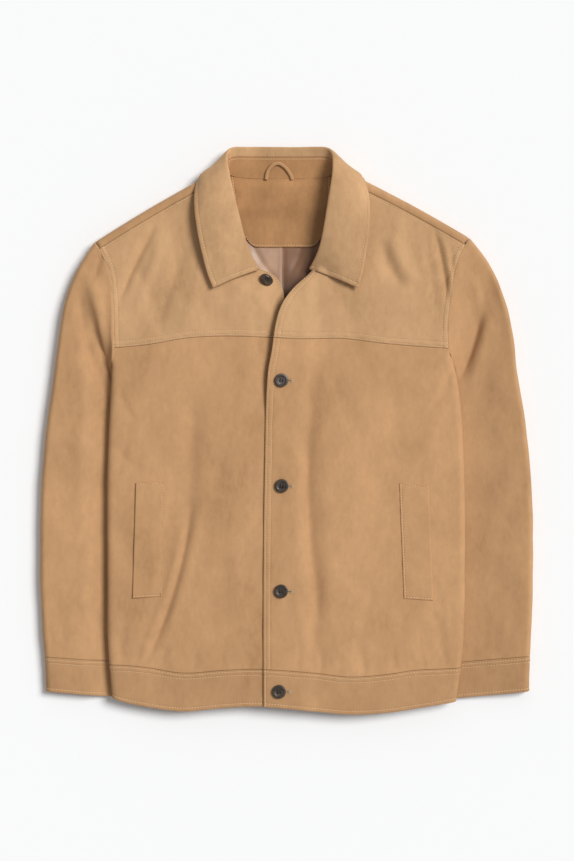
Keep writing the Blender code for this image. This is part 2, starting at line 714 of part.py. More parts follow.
def shortened(grid, at_start, at_end):
    """The same rings with the first and last moved in by a seam's clearance along the tube."""
    out = grid.copy()
    for end, inner, amount in ((0, 1, at_start), (-1, -2, at_end)):
        run = grid[inner] - grid[end]
        length = np.linalg.norm(run, axis=-1, keepdims=True)
        out[end] = grid[end] + run / length * amount
    return out


def sleeve(side):
    last = len(SLEEVE_SECTIONS[side]) - 1
    return shortened(sleeve_grid(side, 0, last), 0, SEAM / 2)


def cuff(side):
    last = len(SLEEVE_SECTIONS[side])
    ends = sleeve_grid(side, last - 1, last)
    middle = (ends[:1] + ends[1:]) / 2
    return shortened(np.concatenate([ends[:1], middle, ends[1:]]), SEAM / 2, 0)


# --------------------------------------------------------------------------------------------- collar


def collar_lines():
    """The collar's four lines, each a row of points from the right front round the back to the left front."""
    lines = {}
    for name in CollarSection._fields:
        half = np.array([getattr(section, name) for section in COLLAR_SECTIONS], float)
        sides = []
        for side in (-1, 1):
            x = collar_middle_x(half[:, 1]) + side * half[:, 0]
            sides.append(plan3(x, half[:, 1], half[:, 2]))
        lines[name] = np.concatenate([sides[0], sides[1][-2::-1]])
    return lines


def spread(line, count):
    """More points along a line of stations, on the smooth curve through them."""
    stations = np.arange(len(line), dtype=float)
    at = along(0, len(line) - 1, count)
    return np.stack([hermite(stations, line[:, axis], at) for axis in range(3)], axis=-1)


COLLAR_COLUMNS = 2 * len(COLLAR_SECTIONS) - 1 + 2 * (len(COLLAR_SECTIONS) - 1)


def stand_top(neck, roll):
    """The seam between stand and fall, a fixed way below the roll on the inside."""
    down = neck - roll
    length = np.linalg.norm(down, axis=-1, keepdims=True)
    return roll + down * np.minimum(STAND_BELOW_ROLL / length, STAND_LIMIT)


def clear_of_body(points, gap):
    """Points moved out of the folded shoulder to at least this gap from the middle of its cloth: the collar
    rests on the fronts, goes round the shoulder and lies under the back."""
    out = points.copy()
    x = points[..., 0]
    for side in (-1, 1):
        on_side = side * (x - NECK_MIDDLE) > 0
        past_edge = side * (x - front_edge(side, np.minimum(points[..., 1], 350)))
        here = on_side & (past_edge > -3)
        inside = shoulder_y(side, x) - points[..., 1]
        level = np.minimum(points[..., 1], shoulder_y(side, x) - FOLD_RADIUS)
        top, bottom = front_height(x, level) + front_settle(side, x, level), back_height(x, level)
        centre, half = (top + bottom) / 2, (top - bottom) / 2 + gap
        across = np.maximum(FOLD_RADIUS - inside, 0) / (FOLD_RADIUS + gap)
        up = (points[..., 2] - centre) / half
        reach = np.hypot(across, up)
        push = here & (reach < 1) & (inside > -FOLD_RADIUS)
        grow = 1 / np.maximum(reach, 1e-6)
        out[..., 2] = np.where(push, centre + (points[..., 2] - centre) * grow, out[..., 2])
        beyond = FOLD_RADIUS - np.maximum(FOLD_RADIUS - inside, 0) * grow
        out[..., 1] = np.where(push & (across > 0), shoulder_y(side, x) - beyond, out[..., 1])
    return out


def collar_fall():
    lines = collar_lines()
    neck, roll, middle, outer = (spread(lines[name], COLLAR_COLUMNS) for name in CollarSection._fields)
    seam = stand_top(neck, roll)
    away = roll - seam
    away /= np.linalg.norm(away, axis=-1, keepdims=True)
    control = np.stack([seam + away * SEAM / 2, roll, middle, outer])
    rows = along(0, 3, COLLAR_FALL_ROWS + 1)
    stations = np.arange(4, dtype=float)
    grid = np.empty((len(rows), COLLAR_COLUMNS, 3))
    for column in range(COLLAR_COLUMNS):
        for axis in range(3):
            grid[:, column, axis] = hermite(stations, control[:, column, axis], rows)
    grid[3:] = clear_of_body(grid[3:], CLOTH / 2 + COLLAR_CLOTH / 2 + STACK)
    grid[..., 2] = np.maximum(grid[..., 2], COLLAR_CLOTH / 2)
    return grid


def collar_stand():
    lines = collar_lines()
    neck, roll = (spread(lines[name], COLLAR_COLUMNS) for name in ("neck", "roll"))
    seam = stand_top(neck, roll)
    down = neck - seam
    length = np.linalg.norm(down, axis=-1, keepdims=True)
    top = seam + down / length * SEAM
    share = along(0, 1, STAND_ROWS + 1)[:, None, None]
    grid = mix(neck[None], top[None], share)
    return grid[:, 2:-2]


# -------------------------------------------------------------------------- what lies inside the neck


def back_facing():
    """Suede facing inside the back's neck, narrower at its rounded foot."""
    rows, columns = 7, 9
    v = along(0, 1, rows)[:, None]
    u = along(-1, 1, columns)[None, :]
    half = mix(FACING_HALF_FOOT, FACING_HALF_TOP, v**0.8)
    round_foot = FACING_ROUND * np.clip((np.abs(u) - 0.72) / 0.28, 0, 1) ** 2 * (1 - v) ** 3
    y = mix(FACING_FOOT, FACING_TOP, v) + round_foot
    x = collar_middle_x(y) + u * half * (1 - 0.04 * (1 - v) ** 4)
    z = back_height(x, y) + CLOTH / 2 + LINING_CLOTH + 2 * STACK + FACING_CLOTH / 2
    return plan3(x, y, z)


def back_lining():
    """The part of the back's lining that the open neck shows."""
    v = along(0, 1, 7)[:, None]
    u = along(-1, 1, 9)[None, :]
    y = mix(LINING_FOOT, LINING_TOP, v) + 0 * u
    x = LINING_MIDDLE + u * LINING_HALF + 0 * v
    return plan3(x, y, back_height(x, y) + CLOTH / 2 + STACK + LINING_CLOTH / 2)


def hanger_loop():
    """A narrow strip in an arch, sewn into the neck seam at both ends."""
    stations = np.arange(len(HANGER_LOOP), dtype=float)
    at = along(0, len(HANGER_LOOP) - 1, 13)
    x = hermite(stations, np.array([p.x for p in HANGER_LOOP], float), at)
    y = hermite(stations, np.array([p.y for p in HANGER_LOOP], float), at)
    across = np.stack([np.gradient(y), -np.gradient(x)], axis=-1)
    across /= np.linalg.norm(across, axis=-1, keepdims=True)
    offset = along(-0.5, 0.5, 2)[:, None] * LOOP_WIDTH
    xs, ys = x[None] + across[None, :, 0] * offset, y[None] + across[None, :, 1] * offset
    lies_at = hermite(np.array([341.0, 372.0]), np.array([6.0, 10.4]), ys)
    return plan3(xs, ys, lies_at + COLLAR_CLOTH / 2 + STACK + LOOP_CLOTH / 2)


# ------------------------------------------------------------------------------- on top of the fronts


def pocket_welt(side):
    """A welt on a lower front, made from the front's own surface moved out."""
    welt = WELTS[side]
    v = along(-0.5, 0.5, 8)[:, None]
    u = along(-0.5, 0.5, 4)[None, :]
    x = welt.x + u * WELT_WIDTH + v * welt.lean
    y = welt.y + v * WELT_LENGTH - 0.06 * side * u * WELT_WIDTH
    x, y = np.broadcast_arrays(x, y)
    place = drape_front(side, x, y)
    place[..., 2] += CLOTH + 1.5 * STACK
    return place


# --------------------------------------------------------------------------------------------- solids


def normals(grid, closed):
    """Unit normals of a grid of points, whose rows may close into rings."""
    if closed:
        wide = np.concatenate([grid[:, -1:], grid, grid[:, :1]], axis=1)
        across = (wide[:, 2:] - wide[:, :-2]) / 2
    else:
        across = np.gradient(grid, axis=1)
    normal = np.cross(across, np.gradient(grid, axis=0))
    return normal / np.linalg.norm(normal, axis=-1, keepdims=True)


def add_wall(name, grid, thickness, material, closed=False):
    """A wall of cloth of this thickness, half of it on each side of a grid of points."""
    normal = normals(grid, closed)
    rows, columns = grid.shape[:2]
    mesh = bmesh.new()
    sheets = []
    for way in (1, -1):
        places = (grid + normal * thickness / 2 * way) * MM
        sheets.append([[mesh.verts.new(place) for place in row] for row in places])
    last = columns if closed else columns - 1
    for r in range(rows - 1):
        for c in range(last):
            d = (c + 1) % columns
            for verts, flip in ((sheets[0], False), (sheets[1], True)):
                corners = [verts[r][c], verts[r][d], verts[r + 1][d], verts[r + 1][c]]
                mesh.faces.new(corners[::-1] if flip else corners)
    rims = [[(0, c) for c in range(columns)], [(rows - 1, c) for c in range(columns)]]
    for rim in rims:
        for k in range(last):
            (r, c), (_, d) = rim[k], rim[(k + 1) % columns]
            mesh.faces.new([sheets[0][r][c], sheets[1][r][c], sheets[1][r][d], sheets[0][r][d]])
    if not closed:
        for c in (0, columns - 1):
            for r in range(rows - 1):
                mesh.faces.new([sheets[0][r][c], sheets[0][r + 1][c], sheets[1][r + 1][c], sheets[1][r][c]])
    bmesh.ops.triangulate(mesh, faces=mesh.faces)
    bmesh.ops.recalc_face_normals(mesh, faces=mesh.faces)
    return add_solid(name, mesh, material)


def add_solid(name, mesh, material):
    data = bpy.data.meshes.new(name)
    mesh.to_mesh(data)
    mesh.free()
    made = bpy.data.objects.new(name, data)
    made.data.materials.append(material)
    bpy.context.scene.collection.objects.link(made)
    for polygon in data.polygons:
        polygon.use_smooth = True
    data.set_sharp_from_angle(angle=math.radians(40))
    return made


def add_button(name, place, normal, material):
    """A four-hole button turned from a profile, with a raised rim, facing along a normal."""
    profile = [  # (radius, height) from the middle of its dish, over the rim, to the middle of its back
        (BUTTON_DISH_RADIUS - 1.4, BUTTON_HEIGHT - BUTTON_DISH_DEPTH),
        (BUTTON_DISH_RADIUS, BUTTON_HEIGHT),
        (BUTTON_RADIUS - 0.9, BUTTON_HEIGHT - 0.1),
        (BUTTON_RADIUS, BUTTON_HEIGHT - 1.1),
        (BUTTON_RADIUS - 0.7, 0.5),
        (BUTTON_RADIUS - 2.6, 0.0),
    ]
    mesh = bmesh.new()
    segments = 24
    rings = []
    for radius, height in profile:
        angles = along(0, 2 * math.pi, segments + 1)[:-1]
        places = [(radius * math.cos(angle), radius * math.sin(angle), height) for angle in angles]
        rings.append([mesh.verts.new(np.array(place) * MM) for place in places])
    for upper, lower in zip(rings, rings[1:]):
        for k in range(segments):
            j = (k + 1) % segments
            mesh.faces.new([upper[k], lower[k], lower[j], upper[j]])
    mesh.faces.new(rings[0])
    mesh.faces.new(rings[-1][::-1])
    bmesh.ops.recalc_face_normals(mesh, faces=mesh.faces)
    made = add_solid(name, mesh, material)
    add_button_holes(made)
    up = np.array([0.0, 0.0, 1.0])
    axis = np.cross(up, normal)
    if np.linalg.norm(axis) > 1e-6:
        made.rotation_mode = "AXIS_ANGLE"
        made.rotation_axis_angle = (math.acos(float(normal[2])), *(axis / np.linalg.norm(axis)))
    made.location = np.array(place) * MM
    return made


def add_button_holes(button):
    """Four holes cut through a button."""
    for index in range(4):
        angle = math.pi / 4 + index * math.pi / 2
        reach = BUTTON_HOLE_SPACING / math.sqrt(2) * MM
        mesh = bmesh.new()
        radius = BUTTON_HOLE_RADIUS * MM
        bmesh.ops.create_cone(mesh, cap_ends=True, segments=8, radius1=radius, radius2=radius, depth=12 * MM)
        bmesh.ops.translate(mesh, verts=mesh.verts, vec=(reach * math.cos(angle), reach * math.sin(angle), 0))
        cutter = add_solid(f"{button.name}_hole_{index + 1}", mesh, button.data.materials[0])
        cutter.hide_render = True
        cutter.display_type = "WIRE"
        cutter.parent = button
        cut = button.modifiers.new(f"hole {index + 1}", "BOOLEAN")
        cut.operation = "DIFFERENCE"
        cut.object = cutter


def add_material(name, colour, roughness):
    material = bpy.data.materials.new(name)
    material.use_nodes = True
    shader = material.node_tree.nodes["Principled BSDF"]
    shader.inputs["Base Color"].default_value = (*colour, 1.0)
    shader.inputs["Roughness"].default_value = roughness
    shader.inputs["Metallic"].default_value = 0.0
    return material


# --------------------------------------------------------------------------------------------- jacket


def front_normal(side, x, y):
    """The upward normal of a front's surface at a point."""
    step = BUTTON_RADIUS * 0.7
    x, y = float(x), float(y)
    right, left = drape_front(side, [x + step], [y])[0], drape_front(side, [x - step], [y])[0]
    up, down = drape_front(side, [x], [y + step])[0], drape_front(side, [x], [y - step])[0]
    normal = np.cross(right - left, up - down)
    return normal / np.linalg.norm(normal)


def add_buttons(horn):
    clear = CLOTH / 2 + SEAM + 0.1
    for index, button in enumerate(BUTTONED):
        place = drape_front(1, [button.x], [button.y])[0]
        normal = front_normal(1, button.x, button.y)
        add_button(f"button_{index + 2}", place + normal * clear, normal, horn)
    place = drape_front(-1, [TOP_BUTTON.x], [TOP_BUTTON.y])[0]
    normal = front_normal(-1, TOP_BUTTON.x, TOP_BUTTON.y)
    add_button("button_1", place + normal * (clear + 1.3), normal, horn)


def clear_scene():
    for thing in list(bpy.data.objects):
        bpy.data.objects.remove(thing)


def main():
    clear_scene()
    suede = add_material("suede", (0.55, 0.33, 0.165), 0.95)
    satin = add_material("lining", (0.47, 0.29, 0.18), 0.5)
    horn = add_material("horn", (0.04, 0.028, 0.02), 0.3)
    add_wall("back", back(), CLOTH, suede)
    add_wall("waistband_back", waistband_back(), CLOTH, suede)
    for side, name in ((-1, "right"), (1, "left")):
        add_wall(f"front_{name}", lower_front(side), CLOTH, suede)
        add_wall(f"yoke_{name}", front_yoke(side), CLOTH, suede)
        add_wall(f"waistband_{name}", waistband_front(side), CLOTH, suede)
        add_wall(f"sleeve_{name}", sleeve(side), CLOTH, suede, closed=True)
        add_wall(f"cuff_{name}", cuff(side), CLOTH, suede, closed=True)
        add_wall(f"welt_{name}", pocket_welt(side), CLOTH, suede)
    add_wall("collar_fall", collar_fall(), COLLAR_CLOTH, suede)
    add_wall("collar_stand", collar_stand(), COLLAR_CLOTH, suede)
    add_wall("back_facing", back_facing(), FACING_CLOTH, suede)
    add_wall("back_lining", back_lining(), LINING_CLOTH, satin)
    add_wall("hanger_loop", hanger_loop(), LOOP_CLOTH, suede)
    add_buttons(horn)


main()
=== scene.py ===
"""A man's suede jacket, buttoned and laid flat: the finish of every piece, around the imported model.

Run as a script, it makes each piece through the operators below, which a sidebar panel also lists. Sizes and
tables are in millimetres, and MM turns them into the scene's metres. Left and right are the wearer's: the
wearer's left front is on +X, and -Y is the hem.
"""

import json
import math
from collections import namedtuple

import bpy
import numpy as np
from bpy.props import FloatProperty, FloatVectorProperty, IntProperty, PointerProperty
from mathutils import Matrix, Vector

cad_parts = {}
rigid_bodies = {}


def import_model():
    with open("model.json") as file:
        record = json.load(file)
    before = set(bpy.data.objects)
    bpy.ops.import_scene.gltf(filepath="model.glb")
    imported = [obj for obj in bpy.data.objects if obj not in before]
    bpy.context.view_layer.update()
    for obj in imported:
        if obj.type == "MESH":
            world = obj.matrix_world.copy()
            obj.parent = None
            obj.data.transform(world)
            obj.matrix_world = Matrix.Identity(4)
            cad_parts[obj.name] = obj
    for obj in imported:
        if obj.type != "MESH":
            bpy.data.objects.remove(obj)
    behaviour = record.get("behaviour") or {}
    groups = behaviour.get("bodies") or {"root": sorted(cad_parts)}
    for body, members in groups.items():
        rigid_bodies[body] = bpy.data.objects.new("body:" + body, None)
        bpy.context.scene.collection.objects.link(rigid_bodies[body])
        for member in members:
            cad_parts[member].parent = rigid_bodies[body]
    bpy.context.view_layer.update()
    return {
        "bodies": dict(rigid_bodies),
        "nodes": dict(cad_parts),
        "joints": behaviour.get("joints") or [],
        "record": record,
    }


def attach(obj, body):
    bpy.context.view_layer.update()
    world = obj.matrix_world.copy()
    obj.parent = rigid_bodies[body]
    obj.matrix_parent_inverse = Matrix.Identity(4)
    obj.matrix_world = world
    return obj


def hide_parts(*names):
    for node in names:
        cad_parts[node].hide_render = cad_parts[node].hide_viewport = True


bl_info = {
    "name": "Suede Jacket Laid Flat",
    "version": (1, 0, 0),
    "blender": (4, 5, 0),
    "location": "3D View > Sidebar > Jacket",
    "description": "Makes the cloth, stitching, buttons and stage of a man's suede jacket",
    "category": "Object",
}

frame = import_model()

MM = 0.001


def table(columns, *rows):
    """The rows of a table whose columns have names."""
    row_type = namedtuple("Row", columns)
    return [row_type(*row) for row in rows]


# ----------------------------------------------------------------------------------------- the jacket's form

CLOTH = 2.0  # suede with its interlining
COLLAR_CLOTH = 2.4
FACING_CLOTH = 1.2
LINING_CLOTH = 0.6
SEAM = 0.3  # clearance between two pieces at a seam
STACK = 0.7  # clearance between two layers that lie on each other

CHEST_HEIGHT = 26.0
CHEST_CROWN = 3.0
SIDE_LIFT = 10.6
SIDE_LIFT_INNER = 82.0
SIDE_LIFT_OUTER = 56.0
FOLD_RADIUS = 7.0
SIDE_SEAM_IN = 4.0
SHOULDER_SEAM_IN = 13.0
OVERLAP = 20.0
OVERLAP_EASE = 26.0
BUTTON_RADIUS = 9.2
BUTTON_HEIGHT = 3.2
HOLE_STITCHES = 74  # round a buttonhole
HOLE_HALF = 11.4
HOLE_REACH = 1.5
HOLE_CENTRE = (4.8, -0.6)  # from its button's middle
SLIT_LIFT = 0.03
BUTTON_HOLE_OUT = 2.4
BUTTON_HOLE_RADIUS = 0.95
WELT_WIDTH = 39.5
WELT_LENGTH = 156.0
LOOP_WIDTH = 4.8
LOOP_CLOTH = 1.4

TORSO_SIDES = table("y left right",
    (-400, -233, 226), (-365, -237, 230), (-320, -241.5, 236.5), (-177, -244, 242), (-24, -243, 239.4),
    (30, -240.5, 236.5), (66, -238.5, 232), (104, -238.5, 223.5)
)
UNDERARM = {-1: 88.0, 1: 103.0}

ARMHOLES = table("y left right",
    (80, -240, 229), (100, -237.3, 221.5), (135, -236.8, 218.4), (185, -238.6, 223), (209, -241, 226.6),
    (232, -248.5, 233), (252, -259, 242.5), (266, -269, 252.5)
)
SHOULDER_POINT = {-1: (-262.0, 256.0), 1: (250.0, 261.0)}
NECK_POINT = {-1: (-84.0, 359.0), 1: (66.0, 359.0)}
SHOULDER_CROWN = 3.2
SHOULDER_SEAM_END = {-1: 247.0, 1: 251.0}  # where the shoulder seam meets the armhole
NECK_CORNER = {-1: 221.0, 1: 216.0}  # where a front's edge turns into the neckline

FRONT_HEM = table("x seam edge",
    (-245, -318, -361), (-215, -319, -370), (-186, -322, -375.5), (-146, -328.5, -380.5),
    (-85, -325, -376), (-45, -323.5, -374), (0, -325.5, -377), (39, -329, -381), (85, -334, -385),
    (136, -330.5, -382.5), (175, -325, -377), (209, -323.5, -371.5), (240, -322, -366.5)
)
SIDE_HEM = {-1: {"seam": -318.0, "edge": -361.5}, 1: {"seam": -322.0, "edge": -367.0}}
BACK_HEM_MIDDLE = {"seam": -319.0, "edge": -368.0}

YOKE_SEAM = table("x y",
    (-240, 111.5), (-194, 115.6), (-131, 125.7), (-95, 127.6), (-33, 126.5), (10, 124.2), (81, 124),
    (130, 118), (188, 113.3), (222, 111)
)

LEFT_FRONT_EDGE = table("y x",
    (-400, -31.5), (-325, -32), (-48, -30), (60, -27.2), (82, -25.5), (109, -20.5), (141, -16),
    (165, -9.5), (177, -3.5), (195, 10.7), (216, 33.7), (237, 50), (262, 63), (292, 70.8), (322, 76.6),
    (350, 79)
)
RIGHT_FRONT_EDGE = table("y x",
    (-400, 7), (60, 10), (100, 11), (130, 8.5), (160, 1.5), (179.5, -3.3), (192, -5.8), (205, -12),
    (215, -23.5), (221, -38.5), (237, -58), (262, -73.5), (292, -83.2), (322, -91.4), (350, -95.5)
)

BACK_NECK = table("half y",
    (87, 372), (85.5, 361), (80, 351), (69, 344.5), (46, 341.5), (0, 341)
)

SLEEVE = "outer_x outer_y inner_x inner_y height"
SLEEVE_SECTIONS = {
    -1: table(SLEEVE,
        (-284, 221, -235.5, 73, 21), (-301.5, 178, -230, 46, 20), (-310.5, 128, -221, 18, 20),
        (-317, 78, -208, -14, 20), (-325.5, 20, -200, -56, 20), (-332, -42, -195, -104, 19.5),
        (-335.5, -110, -193.5, -158, 19), (-336, -180, -195, -212, 18.5), (-334.5, -246, -197, -266, 18),
        (-330.2, -308, -200, -317, 17), (-328, -355, -202, -366, 16)
    ),
    1: table(SLEEVE,
        (276, 226, 227.5, 84, 21), (296.5, 178, 228, 50, 20), (307.5, 132, 217, 20, 20),
        (313.5, 80, 206, -12, 20), (323.5, 20, 199, -54, 20), (330.5, -42, 194, -104, 19.5),
        (334.6, -110, 192, -158, 19), (335.2, -180, 191.5, -212, 18.5), (334, -246, 192, -268, 18),
        (331.2, -307, 193, -320, 17), (330, -355, 193, -369, 16)
    ),
}
SLEEVE_TUCKED = {-1: 6.6, 1: 8.6}
SLEEVE_TUCK_WIDTH = {-1: 38.0, 1: 95.0}

COLLAR_LINES = ("neck", "roll", "middle", "outer")
COLLAR_SECTIONS = table(COLLAR_LINES,  # half width, y and z, from the front to the back
    ((36, 217.6, 15), (36.6, 218.2, 17.5), (68.5, 205.8, 31), (98, 192.5, 34)),
    ((51.5, 237, 22), (47.5, 240, 29), (76, 229, 37), (105, 213, 36)),
    ((66, 262, 28), (54.5, 264, 35), (83, 254, 40), (111, 240, 37)),
    ((75.5, 292, 29), (60.5, 294, 38), (89, 285, 41), (116, 270, 37.5)),
    ((82, 322, 27.5), (66.5, 323, 38.5), (96, 314, 39), (118.5, 301, 34)),
    ((83, 338, 23), (71, 346, 36.5), (102, 334, 34), (117.2, 325, 25.5)),
    ((82, 347, 18), (73, 361, 32), (104.5, 349.5, 21), (112.5, 340.5, 13)),
    ((77, 353, 12), (72.5, 375, 24), (98, 354.5, 10), (110, 341, 3)),
    ((64, 346, 7), (64, 384, 16), (80, 364, 4), (88, 325, 1.3)),
    ((38, 343.3, 6), (38, 385, 12), (41, 371, 2.4), (50, 314, 1.2)),
    ((0, 342.8, 6), (0, 385, 11.5), (0, 371, 1.8), (0, 310, 1.2))
)
COLLAR_MIDDLE = ((200.0, -2.5), (385.0, -10.0))
STAND_BELOW_ROLL = 13.0

# -------------------------------------------------------------------------------------- folds, creases, dips

FOLD = "x0 y0 x1 y1 bow width height"
LARGE_FOLDS = table(FOLD,  # ends, sideways bow, half width, height of the ridge (+) or trough (-)
    (-120, 60, -190, -290, 0, 15, -3), (-160, -110, -205, -330, 0, 17, 2.2),
    (22, 20, 34, -180, 0, 14, -2.2), (70, 95, 84, -330, 0, 26, 2), (-70, 90, -60, -330, 0, 22, 1.6),
    (140, 60, 150, -330, 0, 22, -1.4), (190, 90, 205, -300, 0, 20, 1.4),
    (-205, 235, -165, 120, 0, 10, -2.2), (-180, 280, -150, 150, 0, 12, 2.2),
    (190, 240, 205, 140, 0, 9, -2), (150, 300, 165, 150, 0, 14, 1.6)
)
FRONT_CREASES = table(FOLD,  # smaller folds of the fronts and yokes
    (-126, 34, -136, -165, -2, 11, -2.2), (-131, -108, -190, -310, -8, 5, -3.2),
    (-141, -136, -201, -312, -8, 7, 1.6), (-119, -100, -172, -300, -8, 7, 1.5),
    (-214, -5, -229, -66, 2, 6, -1), (36, 74, 27, -62, 2, 9, -2.2), (27, -10, 41, -240, 4, 7, -2.6),
    (41, -170, 30, -320, -4, 8, -1.8), (53, -40, 62, -285, 2, 13, 1.4), (12, -30, 16, -300, 0, 8, 0.9),
    (-180, 276, -229, 172, 3, 5.5, -4), (-166, 262, -203, 160, 2, 8, 2.6),
    (-136, 250, -172, 152, 2, 9, -3.2), (-112, 225, -140, 140, 2, 10, 1.6),
    (200, 272, 217, 176, -3, 4.5, -3.6), (209, 262, 224, 186, -3, 4.5, 1.4),
    (222, 248, 225, 205, 0, 3.8, -1.5), (125, 258, 159, 190, 3, 8, -3), (141, 264, 174, 198, 3, 9, 1.8),
    (182, 262, 196, 150, 3, 8, 0.9), (-228, 66, -205, 8, 4, 6, -1.1), (-235, -20, -190, -60, 3, 7, -0.8),
    (224, 96, 196, 26, -5, 6, -1.2), (232, 20, 200, -20, 3, 7, -0.7), (60, 124, 24, 50, -4, 9, -1.3),
    (64, 96, 102, -14, 8, 12, -1), (150, 60, 158, -60, 4, 13, -1), (-60, 100, -95, 4, -6, 13, -1),
    (-70, -110, -62, -262, 4, 10, 0.8), (120, -205, 96, -325, 5, 8, -1),
    (196, -240, 212, -310, -3, 6, -1), (-215, -240, -226, -315, 2, 6, -0.9),
    (60, 214, 96, 146, 5, 11, -1), (-80, 195, -108, 140, -4, 10, -1)
)
HEM_PUCKERS = table(FOLD,  # short folds that run up from the waistband
    (-205, -318, -198, -292, 1, 3.5, -0.8), (-172, -322, -164, -288, 2, 4.5, -1),
    (-128, -326, -124, -300, 1, 4, -0.7), (-88, -325, -90, -302, 1, 4, -0.6),
    (-52, -323, -50, -305, 1, 3.5, -0.6), (12, -325, 17, -286, 2, 4, -0.9),
    (44, -330, 46, -292, 2, 4, -1), (68, -333, 72, -304, 1, 3.5, -0.7),
    (104, -334, 100, -298, 2, 4.5, -0.9), (146, -328, 141, -296, 1, 4, -0.8),
    (184, -323, 181, -300, 1, 3.5, -0.6), (214, -322, 212, -298, 1, 3.5, -0.6)
)
SLEEVE_CREASES = table(FOLD,
    (-262, 208, -242, 116, 0, 11, 3), (-268, 208, -238, 88, 0, 7, 3.4), (-284, 196, -249, 50, 4, 9, -4),
    (-251, 240, -263, 204, 0, 4, -1.8), (-262, 246, -282, 206, 2, 5, 0.7),
    (-300, 120, -270, 20, -6, 9, 0.6), (-262, 60, -300, -20, 5, 8, -0.6),
    (-318, 20, -280, -60, 4, 8, -0.5), (-268, -60, -312, -110, 4, 8, -0.5),
    (-325, -100, -285, -170, 3, 9, 0.4), (-270, -170, -318, -215, 3, 8, -0.4),
    (-322, -200, -290, -290, 4, 8, -0.4), (-282, -235, -270, -305, 1, 5, -0.5),
    (-305, -262, -300, -308, 1, 4.5, -0.5), (-320, -270, -321, -307, 0, 4, -0.3),
    (264, 163, 235, 68, -3, 6.5, -4), (275, 156, 249, 58, -3, 7, 1.5), (249, 212, 259, 150, -5, 6, 1.4),
    (272, 205, 292, 120, -6, 8, -0.7), (296, 130, 268, 30, 6, 9, -0.6), (262, 40, 300, -30, -4, 8, 0.5),
    (318, 10, 278, -70, -4, 9, -0.6), (266, -90, 315, -140, -3, 8, -0.4),
    (322, -130, 285, -200, -3, 9, 0.4), (268, -190, 312, -240, -3, 8, -0.4),
    (316, -220, 300, -300, 2, 7, -0.4), (272, -250, 268, -310, 1, 5, -0.5),
    (290, -268, 287, -312, 1, 4.5, -0.4)
)
BACK_CREASES = table(FOLD,
    (-60, 250, -90, 60, 10, 14, 0.5), (40, 240, 70, 40, -8, 14, 0.5), (-120, 60, -70, -200, 10, 16, 0.5),
    (110, 30, 60, -230, -10, 16, 0.5), (-20, -40, 10, -290, 5, 14, 0.45),
    (-210, 220, -150, 120, 6, 8, 0.7), (200, 225, 140, 120, 6, 8, 0.7)
)
PLEAT_X = -7.0
LINING_PAINTED_SHADE_HEIGHTS = (185.0, 232.0)  # the heights between which the painted shade on the lining past its pleat deepens, darkest at the lower one
LINING_CREASES = table(FOLD,
    (-8, 262, -7, 120, 1, 1.6, 0.7), (-4, 262, -3, 120, 1, 1.8, -0.7), (-60, 255, -22, 195, 3, 4, 1.6),
    (-48, 258, -14, 205, 3, 3, -1.2), (34, 250, 12, 190, -3, 4, 1.2), (22, 255, 4, 215, -2, 3, -0.9)
)

Button = namedtuple("Button", "x y")
BUTTONED = [Button(-8.0, 68.0), Button(-7.2, -74.8), Button(-8.0, -217.4), Button(-10.8, -353.2)]
TOP_BUTTON = Button(-29.5, 203.0)

Welt = namedtuple("Welt", "x y lean")
WELT_STANDS_OFF = {-1: 1.5, 1: 0.7}
WELTS = {-1: Welt(-187.2, -148.0, 4.5), 1: Welt(175.0, -151.0, -6.2)}

HANGER_LOOP = table("x y",
    (-28.5, 342), (-26, 353), (-19, 361.5), (-10.5, 363.5), (-1.5, 357.5), (5, 348.5), (7.5, 342)
)

SEAM_ROWS = (1.9, 7.8)  # two rows of stitches beside a seam
EDGE_ROWS = {-1: (3.0,), 1: (2.6, 8.6)}  # rows beside each front's edge
BAND_ROWS = {"top": (2.6, 7.6), "bottom": (4.6,)}
CUFF_ROWS = {"bottom": (3.2, 7.8), "top": (4.2,)}
COLLAR_ROW = 5.6
STAND_ROW = 2.4
FACING_ROW = 3.0
WELT_ROW = 2.2
CREASE_DEPTH = 1.35
FLOOR_GAP = 0.1
ROW_DIP = 0.42  # how deep a row of stitches draws the cloth in
ROW_DIP_WIDTH = 1.15
ROW_PHASE = 3.0
EDGE_SWELL = 0.3  # how far the cloth stands up between an edge and its row, and how unevenly
EDGE_PUCKER = 0.16
EDGE_THINNED = 0.35  # a turned edge's share of the cloth's thickness
STITCH_LIFT = 0.02
THICKNESS_LEVELS = 24
ALL_EDGES = ("bottom", "top", "outer", "inner")
SHEET_WELD = 0.00001

# ---------------------------------------------------------------------------------------------------- curves


def smooth(rows, along_name, value, at):
    """The smooth curve through one column of a table, read at positions along another column."""
    p = np.array([getattr(row, along_name) for row in rows], float)
    q = np.array([getattr(row, value) for row in rows], float)
    return hermite(p, q, at)


def hermite(p, q, at):
    """A cubic through the values q at rising positions p; past its ends it goes on straight."""
    at = np.asarray(at, float)
    slope = np.gradient(q, p)
    i = np.clip(np.searchsorted(p, at) - 1, 0, len(p) - 2)
    step = p[i + 1] - p[i]
    t = np.clip((at - p[i]) / step, 0, 1)
    inside = (
        (2 * t**3 - 3 * t**2 + 1) * q[i]
        + (t**3 - 2 * t**2 + t) * step * slope[i]
        + (3 * t**2 - 2 * t**3) * q[i + 1]
        + (t**3 - t**2) * step * slope[i + 1]
    )
    before = np.minimum(at - p[0], 0) * slope[0]
    after = np.maximum(at - p[-1], 0) * slope[-1]
    return inside + before + after


def curve_through(stations, points, at):
    """The smooth curve through a row of points, one at each station, read at other stations."""
    return np.stack([hermite(stations, column, at) for column in np.transpose(points)], axis=-1)


def run_along(points):
    """How far along a line each of its points lies."""
    return np.concatenate([[0], np.cumsum(np.linalg.norm(np.diff(points, axis=0), axis=1))])


